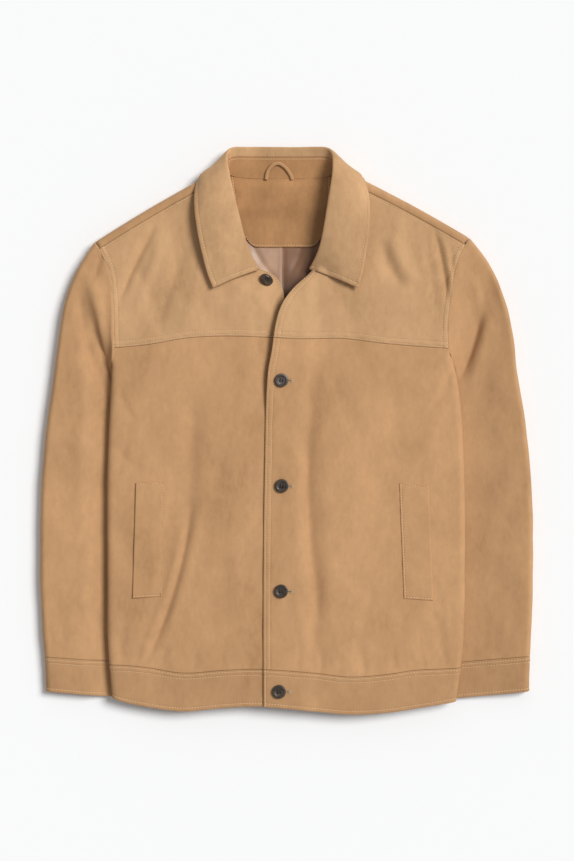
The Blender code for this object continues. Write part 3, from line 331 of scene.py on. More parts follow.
def read_line(at, run, points):
    """The point of a line at a distance along it, or the points at many."""
    return np.stack([np.interp(at, run, column) for column in np.transpose(points)], axis=-1)


def ease(low, high, at):
    """0 below low, 1 above high, and smooth in between. With low above high it falls instead."""
    t = np.clip((np.asarray(at, float) - low) / (high - low), 0, 1)
    return t * t * (3 - 2 * t)


def mix(a, b, share):
    """From a at share 0 to b at share 1."""
    return a + (b - a) * share


def along(start, end, count):
    return np.linspace(start, end, count)


def edge_spaced(length, spacing, fine_start=True, fine_end=True):
    """Shares from 0 to 1 along a length, closer together where a seam or a turned edge is."""
    close = np.array([0, 0.45, 0.95, 1.5, 2.1, 2.8, 3.7, 4.8, 6.0, 7.0, 7.8, 8.6, 9.6, 11.0, 13.0])
    first = close if fine_start else np.array([0.0])
    last = length - close[::-1] if fine_end else np.array([float(length)])
    count = max(2, int(round((last[0] - first[-1]) / spacing)) + 1)
    middle = along(first[-1], last[0], count)[1:-1]
    return np.concatenate([first, middle, last]) / length


def points_of(*columns):
    """Points from their x, y and, where they have one, z."""
    return np.stack(np.broadcast_arrays(*columns), axis=-1).astype(float)


def fold_height(folds, x, y):
    """Height of the soft ridges and troughs of a table at a point. Each fades towards its ends."""
    total = np.zeros(np.shape(x))
    for fold in folds:
        run = np.array([fold.x1 - fold.x0, fold.y1 - fold.y0], float)
        length = np.hypot(*run)
        run /= length
        down = ((x - fold.x0) * run[0] + (y - fold.y0) * run[1]) / length
        across = (x - fold.x0) * run[1] - (y - fold.y0) * run[0] - fold.bow * 4 * down * (1 - down)
        ends = ease(-0.12, 0.3, down) * ease(1.12, 0.7, down)
        total = total + fold.height * ends * np.exp(-((across / fold.width) ** 2))
    return total


def ripple(x, y, seed, size=34.0):
    """Gentle unevenness of hand-laid leather, from a few crossed waves, within about -1 to 1."""
    waves = np.random.default_rng(seed)
    total = np.zeros(np.shape(x))
    for _ in range(9):
        angle = waves.uniform(0, math.pi)
        length = size * waves.uniform(0.7, 2.6)
        phase = waves.uniform(0, 2 * math.pi)
        bend = waves.uniform(0.4, 1.2)
        turn = 2 * math.pi / length
        u = x * math.cos(angle) + y * math.sin(angle)
        v = y * math.cos(angle) - x * math.sin(angle)
        total = total + np.sin(u * turn + phase + bend * np.sin(v * turn * 0.6 + phase)) * length / size
    return total / 9


# ---------------------------------------------------------------------------------------------- torso's form


SIDE_COLUMN = {-1: "left", 1: "right"}  # of the tables, as one looks at the jacket


def armhole_x(side, y):
    return smooth(ARMHOLES, "y", SIDE_COLUMN[side], y)


def torso_edge(side, y):
    """The torso's outline at its side, up to the underarm."""
    return smooth(TORSO_SIDES, "y", SIDE_COLUMN[side], np.minimum(y, UNDERARM[side]))


def side_x(side, y):
    """Middle of the cloth at the folded side. Past the underarm the fold runs out beyond the armhole."""
    run_out = 14.0 * ease(UNDERARM[side] - 1, UNDERARM[side] + 26, y) + 26.0 * ease(185, 245, y)
    return torso_edge(side, y) - side * CLOTH / 2 + side * run_out


def shoulder_y(side, x):
    """Middle of the cloth at the folded shoulder, from the shoulder point up to the neck."""
    (x0, y0), (x1, y1) = SHOULDER_POINT[side], NECK_POINT[side]
    t = (np.asarray(x, float) - x0) / (x1 - x0)
    crown = SHOULDER_CROWN * np.sin(math.pi * np.clip(t, 0, 1))
    return y0 + (y1 - y0) * t + crown - CLOTH / 2


def folded(flat):
    """Where a pattern's point lies that is this far inside a fold: its distance in plan, and +1 before the
    fold or -1 once the cloth has gone round it. A point one fold radius inside or more stays where it is."""
    flat = np.asarray(flat, float)
    arc = flat + (math.pi / 2 - 1) * FOLD_RADIUS
    angle = np.clip(arc / FOLD_RADIUS, -math.pi / 2, math.pi / 2)
    round_it = FOLD_RADIUS * (1 - np.cos(angle))
    beyond = FOLD_RADIUS - arc - FOLD_RADIUS * math.pi / 2
    distance = np.where(flat >= FOLD_RADIUS, flat, np.where(angle <= -math.pi / 2, beyond, round_it))
    return distance, np.where(angle < 0, -1.0, 1.0)


def past_fold(distance):
    """The pattern's distance of a point that lies this far in from the fold on the far side of it."""
    return -((math.pi - 1) * FOLD_RADIUS + (distance - FOLD_RADIUS))


def fold_profile(distance):
    """0 at a fold and 1 from one radius inside it, along a quarter circle."""
    t = np.clip(distance / FOLD_RADIUS, 0, 1)
    return np.sqrt(1 - (1 - t) ** 2)


def edge_distance(x, y):
    """Distance in plan from the nearest folded side or shoulder."""
    nearest = np.full(np.shape(x), 1e3)
    for side in (-1, 1):
        nearest = np.minimum(nearest, side * (side_x(side, y) - x))
        on_shoulder = np.where(side * x > 0, shoulder_y(side, x) - y, 1e3)
        nearest = np.minimum(nearest, on_shoulder)
    return np.maximum(nearest, 0)


def distance_to(edge, x, y, low, high):
    """Distance in plan from an edge's table, between two heights on it."""
    ys = along(low, high, 60)
    xs = smooth(edge, "y", "x", ys)
    gap = np.hypot(np.asarray(x)[..., None] - xs, np.asarray(y)[..., None] - ys)
    return gap.min(axis=-1)


def front_height(x, y):
    """Middle of the front layer over the floor."""
    inside = edge_distance(x, y)
    crown = CHEST_CROWN * ease(0, 120, inside)
    shoulder = -3.0 * ease(170, 300, y)
    quiet = ease(2, 30, inside)
    return CHEST_HEIGHT - CHEST_CROWN + crown + shoulder + quiet * fold_height(LARGE_FOLDS, x, y)


def back_height(x, y):
    """Middle of the back layer: on the floor, over the sleeves and, at the neck, over the collar."""
    inside = np.full(np.shape(x), 1e3)
    for side in (-1, 1):
        inside = np.where(side * x > 0, side * (torso_edge(side, y) - x), inside)
    down_the_body = np.where(x < 0, ease(190, 100, y), ease(200, 115, y))
    over_sleeve = SIDE_LIFT * ease(SIDE_LIFT_INNER, SIDE_LIFT_OUTER, inside) * mix(0.12, 1.0, down_the_body)
    over_collar = 3.4 * ease(285, 308, y) * ease(150, 122, np.abs(x + 8))
    return CLOTH / 2 + np.maximum(over_sleeve, over_collar)


def layer(x, y, face):
    """Height of the tube's upper (+1) or lower (-1) layer, brought together at the folds."""
    top, bottom = front_height(x, y), back_height(x, y)
    return (top + bottom) / 2 + face * (top - bottom) / 2 * fold_profile(edge_distance(x, y))


def drape(flat, face):
    """The places of a pattern's points, on the front's layer (+1) or the back's (-1). A point past a folded
    side or shoulder goes round it to the other layer."""
    x, y = flat[..., 0].copy(), flat[..., 1].copy()
    turned = np.ones(x.shape)
    for side in (-1, 1):
        edge = side_x(side, y)
        near = side * x > 0
        distance, turn = folded(side * (edge - x))
        x = np.where(near, edge - side * distance, x)
        turned = np.where(near, turned * turn, turned)
    for side in (-1, 1):
        near = side * x > 0
        edge = shoulder_y(side, x)
        distance, turn = folded(edge - y)
        y = np.where(near, edge - distance, y)
        turned = np.where(near, turned * turn, turned)
    return np.stack([x, y, layer(x, y, face * turned)], axis=-1)


def front_edge(side, y):
    return smooth(LEFT_FRONT_EDGE if side > 0 else RIGHT_FRONT_EDGE, "y", "x", y)


def front_settle(side, x, y):
    """What a front adds to the tube's height: the left one lies over the right and stands off it under the
    open neck, and both turn down at the neck."""
    if side > 0:
        lies_on = (CLOTH + STACK) * ease(OVERLAP + OVERLAP_EASE, OVERLAP, x)
        stands_off = 3.2 * ease(30, 0, x - front_edge(1, y)) * ease(10, 70, y) * ease(205, 160, y)
        from_edge = distance_to(LEFT_FRONT_EDGE, x, y, 165, 232)
        drop = mix(3.0, 9.0, ease(196, 214, y))
        rolled = drop * (1 - fold_profile(from_edge * FOLD_RADIUS / 11.0))
        return lies_on + stands_off - rolled * ease(168, 198, y) * ease(262, 228, y)
    from_edge = distance_to(RIGHT_FRONT_EDGE, x, y, 120, 236)
    rolled = 17.0 * ease(38, 0, from_edge) * ease(115, 175, y) * ease(258, 225, y)
    sinks = 8.0 * ease(52, 8, -x) * ease(20, 80, y) * ease(185, 140, y)
    return -np.maximum(rolled, sinks)


def drape_front(side, flat):
    place = drape(flat, 1)
    place[..., 2] += front_settle(side, place[..., 0], place[..., 1])
    return place


# ---------------------------------------------------------------------------------------- outlines of panels


def blend_patch(left, right, bottom, top, share_u, share_v):
    """A pattern grid between two cross seams and two sides, which start and end on the cross seams."""
    for boundary, corner in ((left, 0), (right, -1)):
        boundary[0], boundary[-1] = bottom[corner], top[corner]
    u, v = share_u[None, :, None], share_v[:, None, None]
    ruled = mix(left[:, None, :], right[:, None, :], u) + mix(bottom[None, :, :], top[None, :, :], v)
    corners = mix(mix(bottom[0], bottom[-1], u), mix(top[0], top[-1], u), v)
    return ruled - corners


def side_seam_flat(side, y):
    """Pattern x of the side seam, just past the side fold."""
    angle = math.acos(1 - SIDE_SEAM_IN / FOLD_RADIUS)
    return side_x(side, y) + side * (angle + math.pi / 2 - 1) * FOLD_RADIUS


def outer_edge_of_front(side, y):
    """A front's outer boundary: the side seam up to the underarm, then the armhole."""
    below = ease(UNDERARM[side], UNDERARM[side] - 14, y)
    return mix(armhole_x(side, y), side_seam_flat(side, y), below)


def hem_points(side, column, shift, share):
    """Pattern points along the waistband's seam or bottom edge, round the side to the side seam."""
    corner_y = SIDE_HEM[side][column]
    xs = mix(side_seam_flat(side, corner_y), front_edge(side, corner_y), share)
    return points_of(xs, smooth(FRONT_HEM, "x", column, np.clip(xs, -245, 240)) + shift)


def yoke_seam_points(side, shift, share):
    xs = mix(armhole_x(side, 111.4), front_edge(side, 125.0), share)
    return points_of(xs, smooth(YOKE_SEAM, "x", "y", xs) + shift)


FRONT_WIDTH, FRONT_LENGTH = 285.0, 440.0
BAND_LENGTH = 50.0
YOKE_LENGTH = 135.0
BACK_SPACING = 5.5


def lower_front(side, spacing):
    u = edge_spaced(FRONT_WIDTH, spacing)
    v = edge_spaced(FRONT_LENGTH, spacing)
    bottom, top = hem_points(side, "seam", SEAM / 2, u), yoke_seam_points(side, -SEAM / 2, u)
    outer_y = mix(bottom[0, 1], top[0, 1], v)
    outer = points_of(outer_edge_of_front(side, outer_y), outer_y)
    inner_y = mix(bottom[-1, 1], top[-1, 1], v)
    inner = points_of(front_edge(side, inner_y), inner_y)
    return drape_front(side, blend_patch(outer, inner, bottom, top, u, v))


def waistband_front(side, spacing):
    u = edge_spaced(FRONT_WIDTH, spacing)
    v = edge_spaced(BAND_LENGTH, spacing)
    bottom, top = hem_points(side, "edge", 0, u), hem_points(side, "seam", -SEAM / 2, u)
    return drape_front(side, mix(bottom[None], top[None], v[:, None, None]))


def front_yoke(side, spacing):
    u = edge_spaced(240.0, spacing)
    v = edge_spaced(YOKE_LENGTH, spacing)
    bottom = yoke_seam_points(side, SEAM / 2, u)
    xs = mix(armhole_x(side, SHOULDER_SEAM_END[side]), front_edge(side, 345.0), u)
    top = points_of(xs, shoulder_y(side, xs) - SHOULDER_SEAM_IN - SEAM / 2)
    outer_ys = mix(bottom[0, 1], top[0, 1], v)
    outer = points_of(armhole_x(side, outer_ys), outer_ys)
    inner_ys = np.interp(v, [0, 0.48, 1], [bottom[-1, 1], NECK_CORNER[side], top[-1, 1]])
    inner = points_of(front_edge(side, inner_ys), inner_ys)
    return drape_front(side, blend_patch(outer, inner, bottom, top, u, v))


def collar_middle_x(y):
    (y0, x0), (y1, x1) = COLLAR_MIDDLE
    return mix(x0, x1, (np.asarray(y, float) - y0) / (y1 - y0))


def resampled(points, spacing):
    """A line of points set again at even distances along it."""
    run = run_along(points)
    return read_line(along(0, run[-1], max(3, int(round(run[-1] / spacing)) + 1)), run, points)


def back_top(spacing):
    """The back's top edge: a shoulder seam, the neckline and the other shoulder seam. The shoulder seams lie
    past the shoulder folds, on the front."""
    beyond = past_fold(SHOULDER_SEAM_IN)
    halves = {}
    for side in (-1, 1):
        neck_x = collar_middle_x(372.0) + side * BACK_NECK[0].half
        xs = mix(armhole_x(side, SHOULDER_SEAM_END[side]), neck_x, along(0, 1, 40))
        seam = points_of(xs, shoulder_y(side, xs) - beyond - SEAM / 2)
        neck = np.array([(float(collar_middle_x(p.y)) + side * p.half, p.y) for p in BACK_NECK])
        halves[side] = np.concatenate([seam, neck])
    return resampled(np.concatenate([halves[-1], halves[1][-2::-1]]), spacing)


def back_seam_inside():
    angle = math.acos(1 - SIDE_SEAM_IN / FOLD_RADIUS)
    return (angle - math.pi / 2 + 1) * FOLD_RADIUS + SEAM


def back_outer(side, bottom_y, v):
    """The back's side: up the side seam, out to the underarm, up the armhole and over the shoulder."""
    top_y = SHOULDER_POINT[side][1] - CLOTH / 2
    past = past_fold(SHOULDER_SEAM_IN)
    ys = mix(bottom_y, top_y - past, v)
    side_ys = np.minimum(ys, UNDERARM[side] - 2)
    seam = side_x(side, side_ys) - side * back_seam_inside()
    flat_inside = top_y - ys
    inside, _ = folded(flat_inside)
    arm = armhole_x(side, np.minimum(ys, top_y - inside))
    xs = np.where(ys < UNDERARM[side] + 2, seam, arm)
    return points_of(xs, np.where(flat_inside > FOLD_RADIUS, ys, shoulder_y(side, xs) - flat_inside))


def back_hem_y(x, column):
    at_side = np.where(x < 0, SIDE_HEM[-1][column], SIDE_HEM[1][column])
    return mix(at_side, BACK_HEM_MIDDLE[column], ease(215, 150, np.abs(x)))


def back_hem_points(column, share, shift):
    ends = []
    for side in (-1, 1):
        y = float(back_hem_y(side * 240.0, column))
        ends.append(side_x(side, y) - side * back_seam_inside())
    xs = mix(ends[0], ends[1], share)
    return points_of(xs, back_hem_y(xs, column) + shift)


def back_panel(spacing):
    top = back_top(spacing)
    share = along(0, 1, len(top))
    bottom = back_hem_points("seam", share, SEAM / 2)
    v = edge_spaced(590.0, spacing)
    near_top = 1 - along(0, 42, 22)[::-1] / 590.0
    v = np.concatenate([v[v < near_top[0] - 0.004], near_top])
    left, right = back_outer(-1, bottom[0, 1], v), back_outer(1, bottom[-1, 1], v)
    return drape(blend_patch(left, right, bottom, top, share, v), -1)


def waistband_back(spacing):
    share = edge_spaced(460.0, spacing, False, False)
    v = edge_spaced(BAND_LENGTH, spacing)
    top, bottom = back_hem_points("seam", share, -SEAM / 2), back_hem_points("edge", share, 0)
    return drape(mix(bottom[None], top[None], v[:, None, None]), -1)


# ----------------------------------------------------------------------------------------- sleeves and cuffs


def sleeve_ring(side, section, share, upper):
    """Points of one section of a sleeve: share runs from its outer fold (0) to its inner one (1)."""
    x = mix(section.outer_x - side * CLOTH / 2, section.inner_x, share)
    y = mix(section.outer_y, section.inner_y, share)
    rises = ease(1.0, SLEEVE_TUCK_WIDTH[side], side * (x - torso_edge(side, y)))
    top = mix(SLEEVE_TUCKED[side], section.height, rises)
    bottom = CLOTH / 2
    width = math.hypot(section.outer_x - section.inner_x, section.outer_y - section.inner_y)
    rounded = fold_profile(np.minimum(share, 1 - share) * width)
    return points_of(x, y, (top + bottom) / 2 + upper * (top - bottom) / 2 * rounded)


def armhole_ring(side, share, upper):
    """The sleeve's first ring, just outside the armhole, on both layers of the body."""
    y = mix(SHOULDER_POINT[side][1] - CLOTH / 2, UNDERARM[side], share)
    x = armhole_x(side, y)
    return points_of(x + side * SEAM, y, layer(x, y, upper))


def sleeve_tube(side, first, last, spacing, points=112):
    """Fine rings of a sleeve or a cuff between two of its sections; section 0 is the armhole."""
    turn = along(0, 2 * math.pi, points + 1)
    share = (1 - np.cos(turn)) / 2
    upper = np.where(turn < math.pi, 1.0, -1.0)
    rings = [sleeve_ring(side, section, share, upper) for section in SLEEVE_SECTIONS[side]]
    rings = np.array([armhole_ring(side, share, upper)] + rings)
    middle = (rings[:, 0] + rings[:, points // 2]) / 2
    at = run_along(middle)
    length = at[last] - at[first]
    where = at[first] + edge_spaced(length, spacing) * length
    if first > 0:
        where[0] += SEAM / 2
    if last < len(at) - 1:
        where[-1] -= SEAM / 2
    out = curve_through(at, rings.reshape(len(rings), -1), where).reshape(len(where), points + 1, 3)
    if first == 0:
        along_arm = (1 - 2 * share) ** 7
        inward = points_of(-side * 3.4, -along_arm, -upper * np.sqrt(1 - along_arm**2)) * (1, 2.3, 2.3)
        out = np.concatenate([(out[:1] + inward), out])
    out[:, -1] = out[:, 0]
    return out


# ---------------------------------------------------------------------------------------------------- collar


def collar_lines():
    lines = {}
    for name in COLLAR_LINES:
        half = np.array([getattr(section, name) for section in COLLAR_SECTIONS], float)
        sides = []
        for side in (-1, 1):
            x = collar_middle_x(half[:, 1]) + side * half[:, 0]
            sides.append(points_of(x, half[:, 1], half[:, 2]))
        lines[name] = np.concatenate([sides[0], sides[1][-2::-1]])
    return lines


def spread(line, at):
    """More points along a line of stations, on the smooth curve through them."""
    return curve_through(np.arange(len(line), dtype=float), line, at)


def stand_top(neck, roll):
    """The seam between stand and fall, a fixed way below the roll on the inside."""
    down = neck - roll
    length = np.linalg.norm(down, axis=-1, keepdims=True)
    return roll + down * np.minimum(STAND_BELOW_ROLL / length, 0.62)


def clear_of_body(points, gap):
    """Points moved out of the folded shoulder to at least this gap from the middle of its cloth."""
    out = points.copy()
    x = points[..., 0]
    for side in (-1, 1):
        here = (side * (x + 8) > 0) & (side * (x - front_edge(side, np.minimum(points[..., 1], 350))) > -3)
        inside = shoulder_y(side, x) - points[..., 1]
        level = np.minimum(points[..., 1], shoulder_y(side, x) - FOLD_RADIUS)
        top, bottom = front_height(x, level) + front_settle(side, x, level), back_height(x, level)
        centre, half = (top + bottom) / 2, (top - bottom) / 2 + gap
        across = np.maximum(FOLD_RADIUS - inside, 0) / (FOLD_RADIUS + gap)
        up = (points[..., 2] - centre) / half
        reach = np.hypot(across, up)
        push = here & (reach < 1) & (inside > -FOLD_RADIUS)
        grow = 1 / np.maximum(reach, 1e-6)
        out[..., 2] = np.where(push, centre + (points[..., 2] - centre) * grow, out[..., 2])
        beyond = FOLD_RADIUS - np.maximum(FOLD_RADIUS - inside, 0) * grow
        out[..., 1] = np.where(push & (across > 0), shoulder_y(side, x) - beyond, out[..., 1])
    return out


def collar_stations(spacing):
    """Stations of the collar's columns, even along its outer edge and close at its two fronts."""
    line = collar_lines()["outer"]
    at = along(0, len(line) - 1, 400)
    points = spread(line, at)
    run = run_along(points)
    return np.interp(edge_spaced(run[-1], spacing) * run[-1], run, at)


def collar_fall(spacing):
    at = collar_stations(spacing)
    lines = collar_lines()
    neck, roll, middle, outer = (spread(lines[name], at) for name in COLLAR_LINES)
    seam = stand_top(neck, roll)
    control = np.stack([seam, roll, middle, outer]).reshape(4, -1)
    rows = edge_spaced(78.0, 2.4, False, True) * 3
    grid = spread(control, rows).reshape(len(rows), len(at), 3)
    on_body = rows > 1.25
    grid[on_body] = clear_of_body(grid[on_body], CLOTH / 2 + COLLAR_CLOTH / 2 + STACK)
    grid[..., 2] = np.maximum(grid[..., 2], COLLAR_CLOTH / 2)
    return grid


def collar_stand(spacing):
    at = collar_stations(spacing)
    at = at[(at > 0.9) & (at < 2 * len(COLLAR_SECTIONS) - 2.9)]
    lines = collar_lines()
    neck, roll = (spread(lines[name], at) for name in ("neck", "roll"))
    seam = stand_top(neck, roll)
    share = edge_spaced(34.0, 3.0)[:, None, None]
    return mix(neck[None], seam[None], share)


# ------------------------------------------------------------------------------------- what lies in the neck


def facing_grid(spacing):
    """The back's neck facing, narrower at its rounded foot."""
    v = edge_spaced(90.0, spacing)[:, None]
    u = (edge_spaced(126.0, spacing) * 2 - 1)[None, :]
    half = mix(58.0, 69.0, v**0.8)
    round_foot = 17.0 * np.clip((np.abs(u) - 0.68) / 0.32, 0, 1) ** 2.2 * (1 - v) ** 4
    y = mix(250.0, 343.2 + 4.2 * np.abs(u) ** 2.6, v) + round_foot
    x = collar_middle_x(y) + u * half * (1 - 0.10 * (1 - v) ** 5)
    lies_at = back_height(x, y) + CLOTH / 2 + 1.0 + 2 * STACK + FACING_CLOTH / 2
    meets_stand = 2.3 * ease(331, 342.5, y)
    return points_of(x, y, lies_at - meets_stand + 0.6 * ripple(x, y, 41, 26.0))


def lining_grid(spacing):
    """The part of the back's lining that the open neck shows."""
    v = edge_spaced(164.0, spacing, False, False)[:, None]
    u = edge_spaced(192.0, spacing, False, False)[None, :] * 2 - 1
    y = mix(110.0, 274.0, v) + 0 * u
    x = -6.0 + u * 96.0 + 0 * v
    lies_at = back_height(x, y) + CLOTH / 2 + STACK + LINING_CLOTH / 2
    under_facing = ease(262, 240, y)
    return points_of(x, y, lies_at + 0.7 * under_facing * (1 + ripple(x, y, 42, 20.0)))


def loop_grid():
    x, y = spread(np.array(HANGER_LOOP, float), along(0, len(HANGER_LOOP) - 1, 61)).T
    across = np.stack([np.gradient(y), -np.gradient(x)], axis=-1)
    across /= np.linalg.norm(across, axis=-1, keepdims=True)
    share = along(-0.5, 0.5, 7)[:, None]
    xs = x[None] + across[None, :, 0] * share * LOOP_WIDTH
    ys = y[None] + across[None, :, 1] * share * LOOP_WIDTH
    lies_at = hermite(np.array([341.0, 372.0]), np.array([6.0, 10.4]), ys)
    crown = 0.5 * (1 - (2 * share) ** 2)
    return points_of(xs, ys, lies_at + COLLAR_CLOTH / 2 + STACK + LOOP_CLOTH / 2 + crown)


def welt_grid(side, spacing):
    welt = WELTS[side]
    v = (edge_spaced(WELT_LENGTH, spacing) - 0.5)[:, None]
    u = (edge_spaced(WELT_WIDTH, spacing) - 0.5)[None, :]
    x = welt.x + u * WELT_WIDTH + v * welt.lean
    y = welt.y + v * WELT_LENGTH - 0.06 * side * u * WELT_WIDTH
    place = drape_front(side, points_of(x, y))
    place[..., 2] += CLOTH / 2 + WELT_STANDS_OFF[side] * ease(-0.45, 0.5, u * side)
    return place


# ------------------------------------------------------------------------------------------- sheets of cloth


def summed(steps):
    """Running sums down the rows, which start at 0."""
    return np.concatenate([np.zeros((1, steps.shape[1])), np.cumsum(steps, axis=0)])


class Sheet:
    """A piece of cloth as a grid of points on its middle surface. Rows run from its bottom edge to its top
    one and columns from its outer edge to its inner one; a tube's last column repeats its first."""

    def __init__(self, grid, facing=1, closed=False):
        self.grid = grid
        self.closed = closed
        self.flipped = False
        normal = self.find_normals()
        lean = normal[..., 2] * (np.sign(grid[..., 2] - grid[..., 2].mean()) if closed else 1)
        if lean.mean() * facing < 0:
            self.flipped = True
        self.normal = self.find_normals()
        down = np.linalg.norm(np.diff(grid, axis=0), axis=-1)
        across = np.linalg.norm(np.diff(grid, axis=1), axis=-1)
        self.away = {"bottom": summed(down), "top": summed(down[::-1])[::-1]}
        if not closed:
            self.away["outer"] = summed(across.T).T
            self.away["inner"] = summed(across.T[::-1])[::-1].T
        self.seam = np.zeros(grid.shape[:2])

    def find_normals(self):
        grid = self.grid
        if self.closed:
            wide = np.concatenate([grid[:, -2:-1], grid, grid[:, 1:2]], axis=1)
            across = (wide[:, 2:] - wide[:, :-2]) / 2
        else:
            across = np.gradient(grid, axis=1)
        normal = np.cross(across, np.gradient(grid, axis=0))
        normal /= np.maximum(np.linalg.norm(normal, axis=-1, keepdims=True), 1e-9)
        return -normal if self.flipped else normal

    def raise_by(self, height):
        """Moves the cloth out along its normals."""
        self.grid = self.grid + self.normal * height[..., None]

    def crease(self, folds, sides_only=None):
        """Presses a table's folds in, on what faces up (+1) or down (-1), or all over."""
        height = CREASE_DEPTH * fold_height(folds, self.grid[..., 0], self.grid[..., 1])
        if sides_only is not None:
            height = height * ease(0.2, 0.8, self.normal[..., 2] * sides_only)
        self.raise_by(height)

    def uneven(self, seed, height, size=34.0):
        """Adds slight waves that die out towards the edges."""
        x, y = self.grid[..., 0], self.grid[..., 1]
        nearest = np.min([away for away in self.away.values()], axis=0)
        self.raise_by(height * ripple(x, y, seed, size) * ease(0, 16, nearest))

    def stitch_dips(self, edges):
        """Draws the cloth in, a little unevenly, along rows of stitches at these distances from edges."""
        for edge, rows in edges.items():
            away = self.away[edge]
            run = self.grid[..., 0] + self.grid[..., 1] * 1.3
            uneven = 1 + 0.35 * np.sin(run / 7.3 + ROW_PHASE) + 0.25 * np.sin(run / 3.1 + 2 * ROW_PHASE)
            for row in rows:
                near = np.exp(-(((away - row) / ROW_DIP_WIDTH) ** 2))
                self.raise_by(-ROW_DIP * near * uneven)
                # The row is also marked for the painted shade in the suede's colour.
                self.seam = np.maximum(self.seam, near * 0.8)
            last = max(rows)
            swell = ease(0, 0.5 * last, away) * ease(last * 1.02, last * 0.7, away)
            self.raise_by(swell * (EDGE_SWELL + EDGE_PUCKER * np.sin(run / 2.9 + ROW_PHASE)))

    def line(self, edge, distance, start=0.0, stop=1.0):
        """Points and normals of the cloth at this distance from an edge, between two shares of the edge."""
        grid, normal, away = self.grid, self.normal, self.away[edge]
        if edge in ("outer", "inner"):
            grid, normal, away = grid.swapaxes(0, 1), normal.swapaxes(0, 1), away.T
        points, normals = [], []
        for k in range(int(start * (away.shape[1] - 1)), int(stop * (away.shape[1] - 1)) + 1):
            order = np.argsort(away[:, k])
            at = away[order, k]
            points.append(read_line(distance, at, grid[order, k]))
            normals.append(read_line(distance, at, normal[order, k]))
        normals = np.array(normals)
        return np.array(points), normals / np.linalg.norm(normals, axis=-1, keepdims=True)

    def edge_round(self, open_edges, radius=1.5):
        """How thick the cloth is, from its edges, where it is turned or sewn, to its whole thickness."""
        factor = np.ones(self.grid.shape[:2])
        for edge in open_edges:
            t = np.clip(self.away[edge] / radius, 0, 1)
            factor = np.minimum(factor, mix(EDGE_THINNED, 1.0, np.sqrt(1 - (1 - t) ** 2)))
        return factor


def deselect_all():
    if bpy.context.object and bpy.context.object.mode != "OBJECT":
        bpy.ops.object.mode_set(mode="OBJECT")
    bpy.ops.object.select_all(action="DESELECT")


def select_only(piece):
    deselect_all()
    piece.select_set(True)
    bpy.context.view_layer.objects.active = piece


def apply_modifiers(piece):
    select_only(piece)
    for modifier in list(piece.modifiers):
        bpy.ops.object.modifier_apply(modifier=modifier.name)


def sew_sheet(name, sheet, thickness, material, open_edges):
    """A grid laid on a sheet's points and given its thickness, thinner towards its turned edges. No cloth
    goes through the floor."""
    deselect_all()
    sheet.grid[..., 2] = np.maximum(sheet.grid[..., 2], thickness / 2 + FLOOR_GAP)
    rows, columns = sheet.grid.shape[:2]
    bpy.ops.mesh.primitive_grid_add(x_subdivisions=columns - 1, y_subdivisions=rows - 1, size=1)
    piece = bpy.context.object
    piece.name = name
    mesh = piece.data
    mesh.name = name
    flat = np.empty(len(mesh.vertices) * 3)
    mesh.vertices.foreach_get("co", flat)
    flat = flat.reshape(-1, 3)
    column = np.rint((flat[:, 0] + 0.5) * (columns - 1)).astype(int)
    row = np.rint((flat[:, 1] + 0.5) * (rows - 1)).astype(int)
    if sheet.flipped:
        column = columns - 1 - column
    mesh.vertices.foreach_set("co", (sheet.grid[row, column] * MM).ravel())
    # Where the rows of stitches are, for the suede's painted shade.
    marks = mesh.attributes.new("seam", "FLOAT", "POINT")
    marks.data.foreach_set("value", sheet.seam[row, column])
    edges = [edge for edge in open_edges if edge in sheet.away]
    share = sheet.edge_round(edges)[row, column]
    group = piece.vertex_groups.new(name="cloth")
    levels = np.rint(share * THICKNESS_LEVELS).astype(int)
    for level in np.unique(levels):
        group.add([int(k) for k in np.nonzero(levels == level)[0]], level / THICKNESS_LEVELS, "REPLACE")
    mesh.update()
    if sheet.closed:
        bpy.ops.object.mode_set(mode="EDIT")
        bpy.ops.mesh.select_all(action="SELECT")
        bpy.ops.mesh.remove_doubles(threshold=SHEET_WELD)
        bpy.ops.object.mode_set(mode="OBJECT")
    solid = piece.modifiers.new("thickness", "SOLIDIFY")
    solid.thickness = thickness * MM
    solid.offset = 0
    solid.vertex_group = "cloth"
    apply_modifiers(piece)
    piece.vertex_groups.clear()
    bpy.ops.object.shade_smooth()
    mesh.materials.clear()
    mesh.materials.append(material)
    return piece


def stitch_frames(line, normals, pitch, lift):
    """Centres and axes of the stitches that stand at an even pitch along one line."""
    run = run_along(line)
    frames = []
    for at in np.arange(pitch * 0.6, run[-1] - pitch * 0.4, pitch):
        centre, ahead, behind = (read_line(at + step, run, line) for step in (0, 0.6, -0.6))
        up = read_line(at, run, normals)
        tangent = (ahead - behind) / np.linalg.norm(ahead - behind)
        up -= tangent * np.dot(up, tangent)
        up /= np.linalg.norm(up)
        frames.append((centre + up * lift, np.array([tangent, np.cross(up, tangent), up])))
    return frames


def sew_stitches(name, lines, material, pitch, length, width, lift):
    """Models one stitch, repeats it and sets the copies along lines of points and normals."""
    frames = [frame for line, normals in lines for frame in stitch_frames(line, normals, pitch, lift)]
    deselect_all()
    bpy.ops.mesh.primitive_uv_sphere_add(segments=6, ring_count=4, radius=0.5)
    piece = bpy.context.object
    piece.name = name
    piece.rotation_euler = (0, math.pi / 2, 0)
    bpy.ops.object.transform_apply(location=False, rotation=True, scale=False)
    shape = np.array([vertex.co for vertex in piece.data.vertices])
    shape[:, 0] = np.sign(shape[:, 0]) * np.abs(shape[:, 0] * 2) ** 0.6 / 2
    shape *= np.array([length, width, width * 0.8])
    piece.modifiers.new("Repeated", "ARRAY").count = len(frames)
    apply_modifiers(piece)
    points = np.concatenate([centre + shape @ axes for centre, axes in frames])
    points[:, 2] = np.maximum(points[:, 2], FLOOR_GAP)
    piece.data.vertices.foreach_set("co", (points * MM).ravel())
    piece.data.update()
    bpy.ops.object.shade_smooth()
    piece.data.materials.append(material)
    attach(piece, "root")
    return piece


# -------------------------------------------------------------------------------------------------- finishes


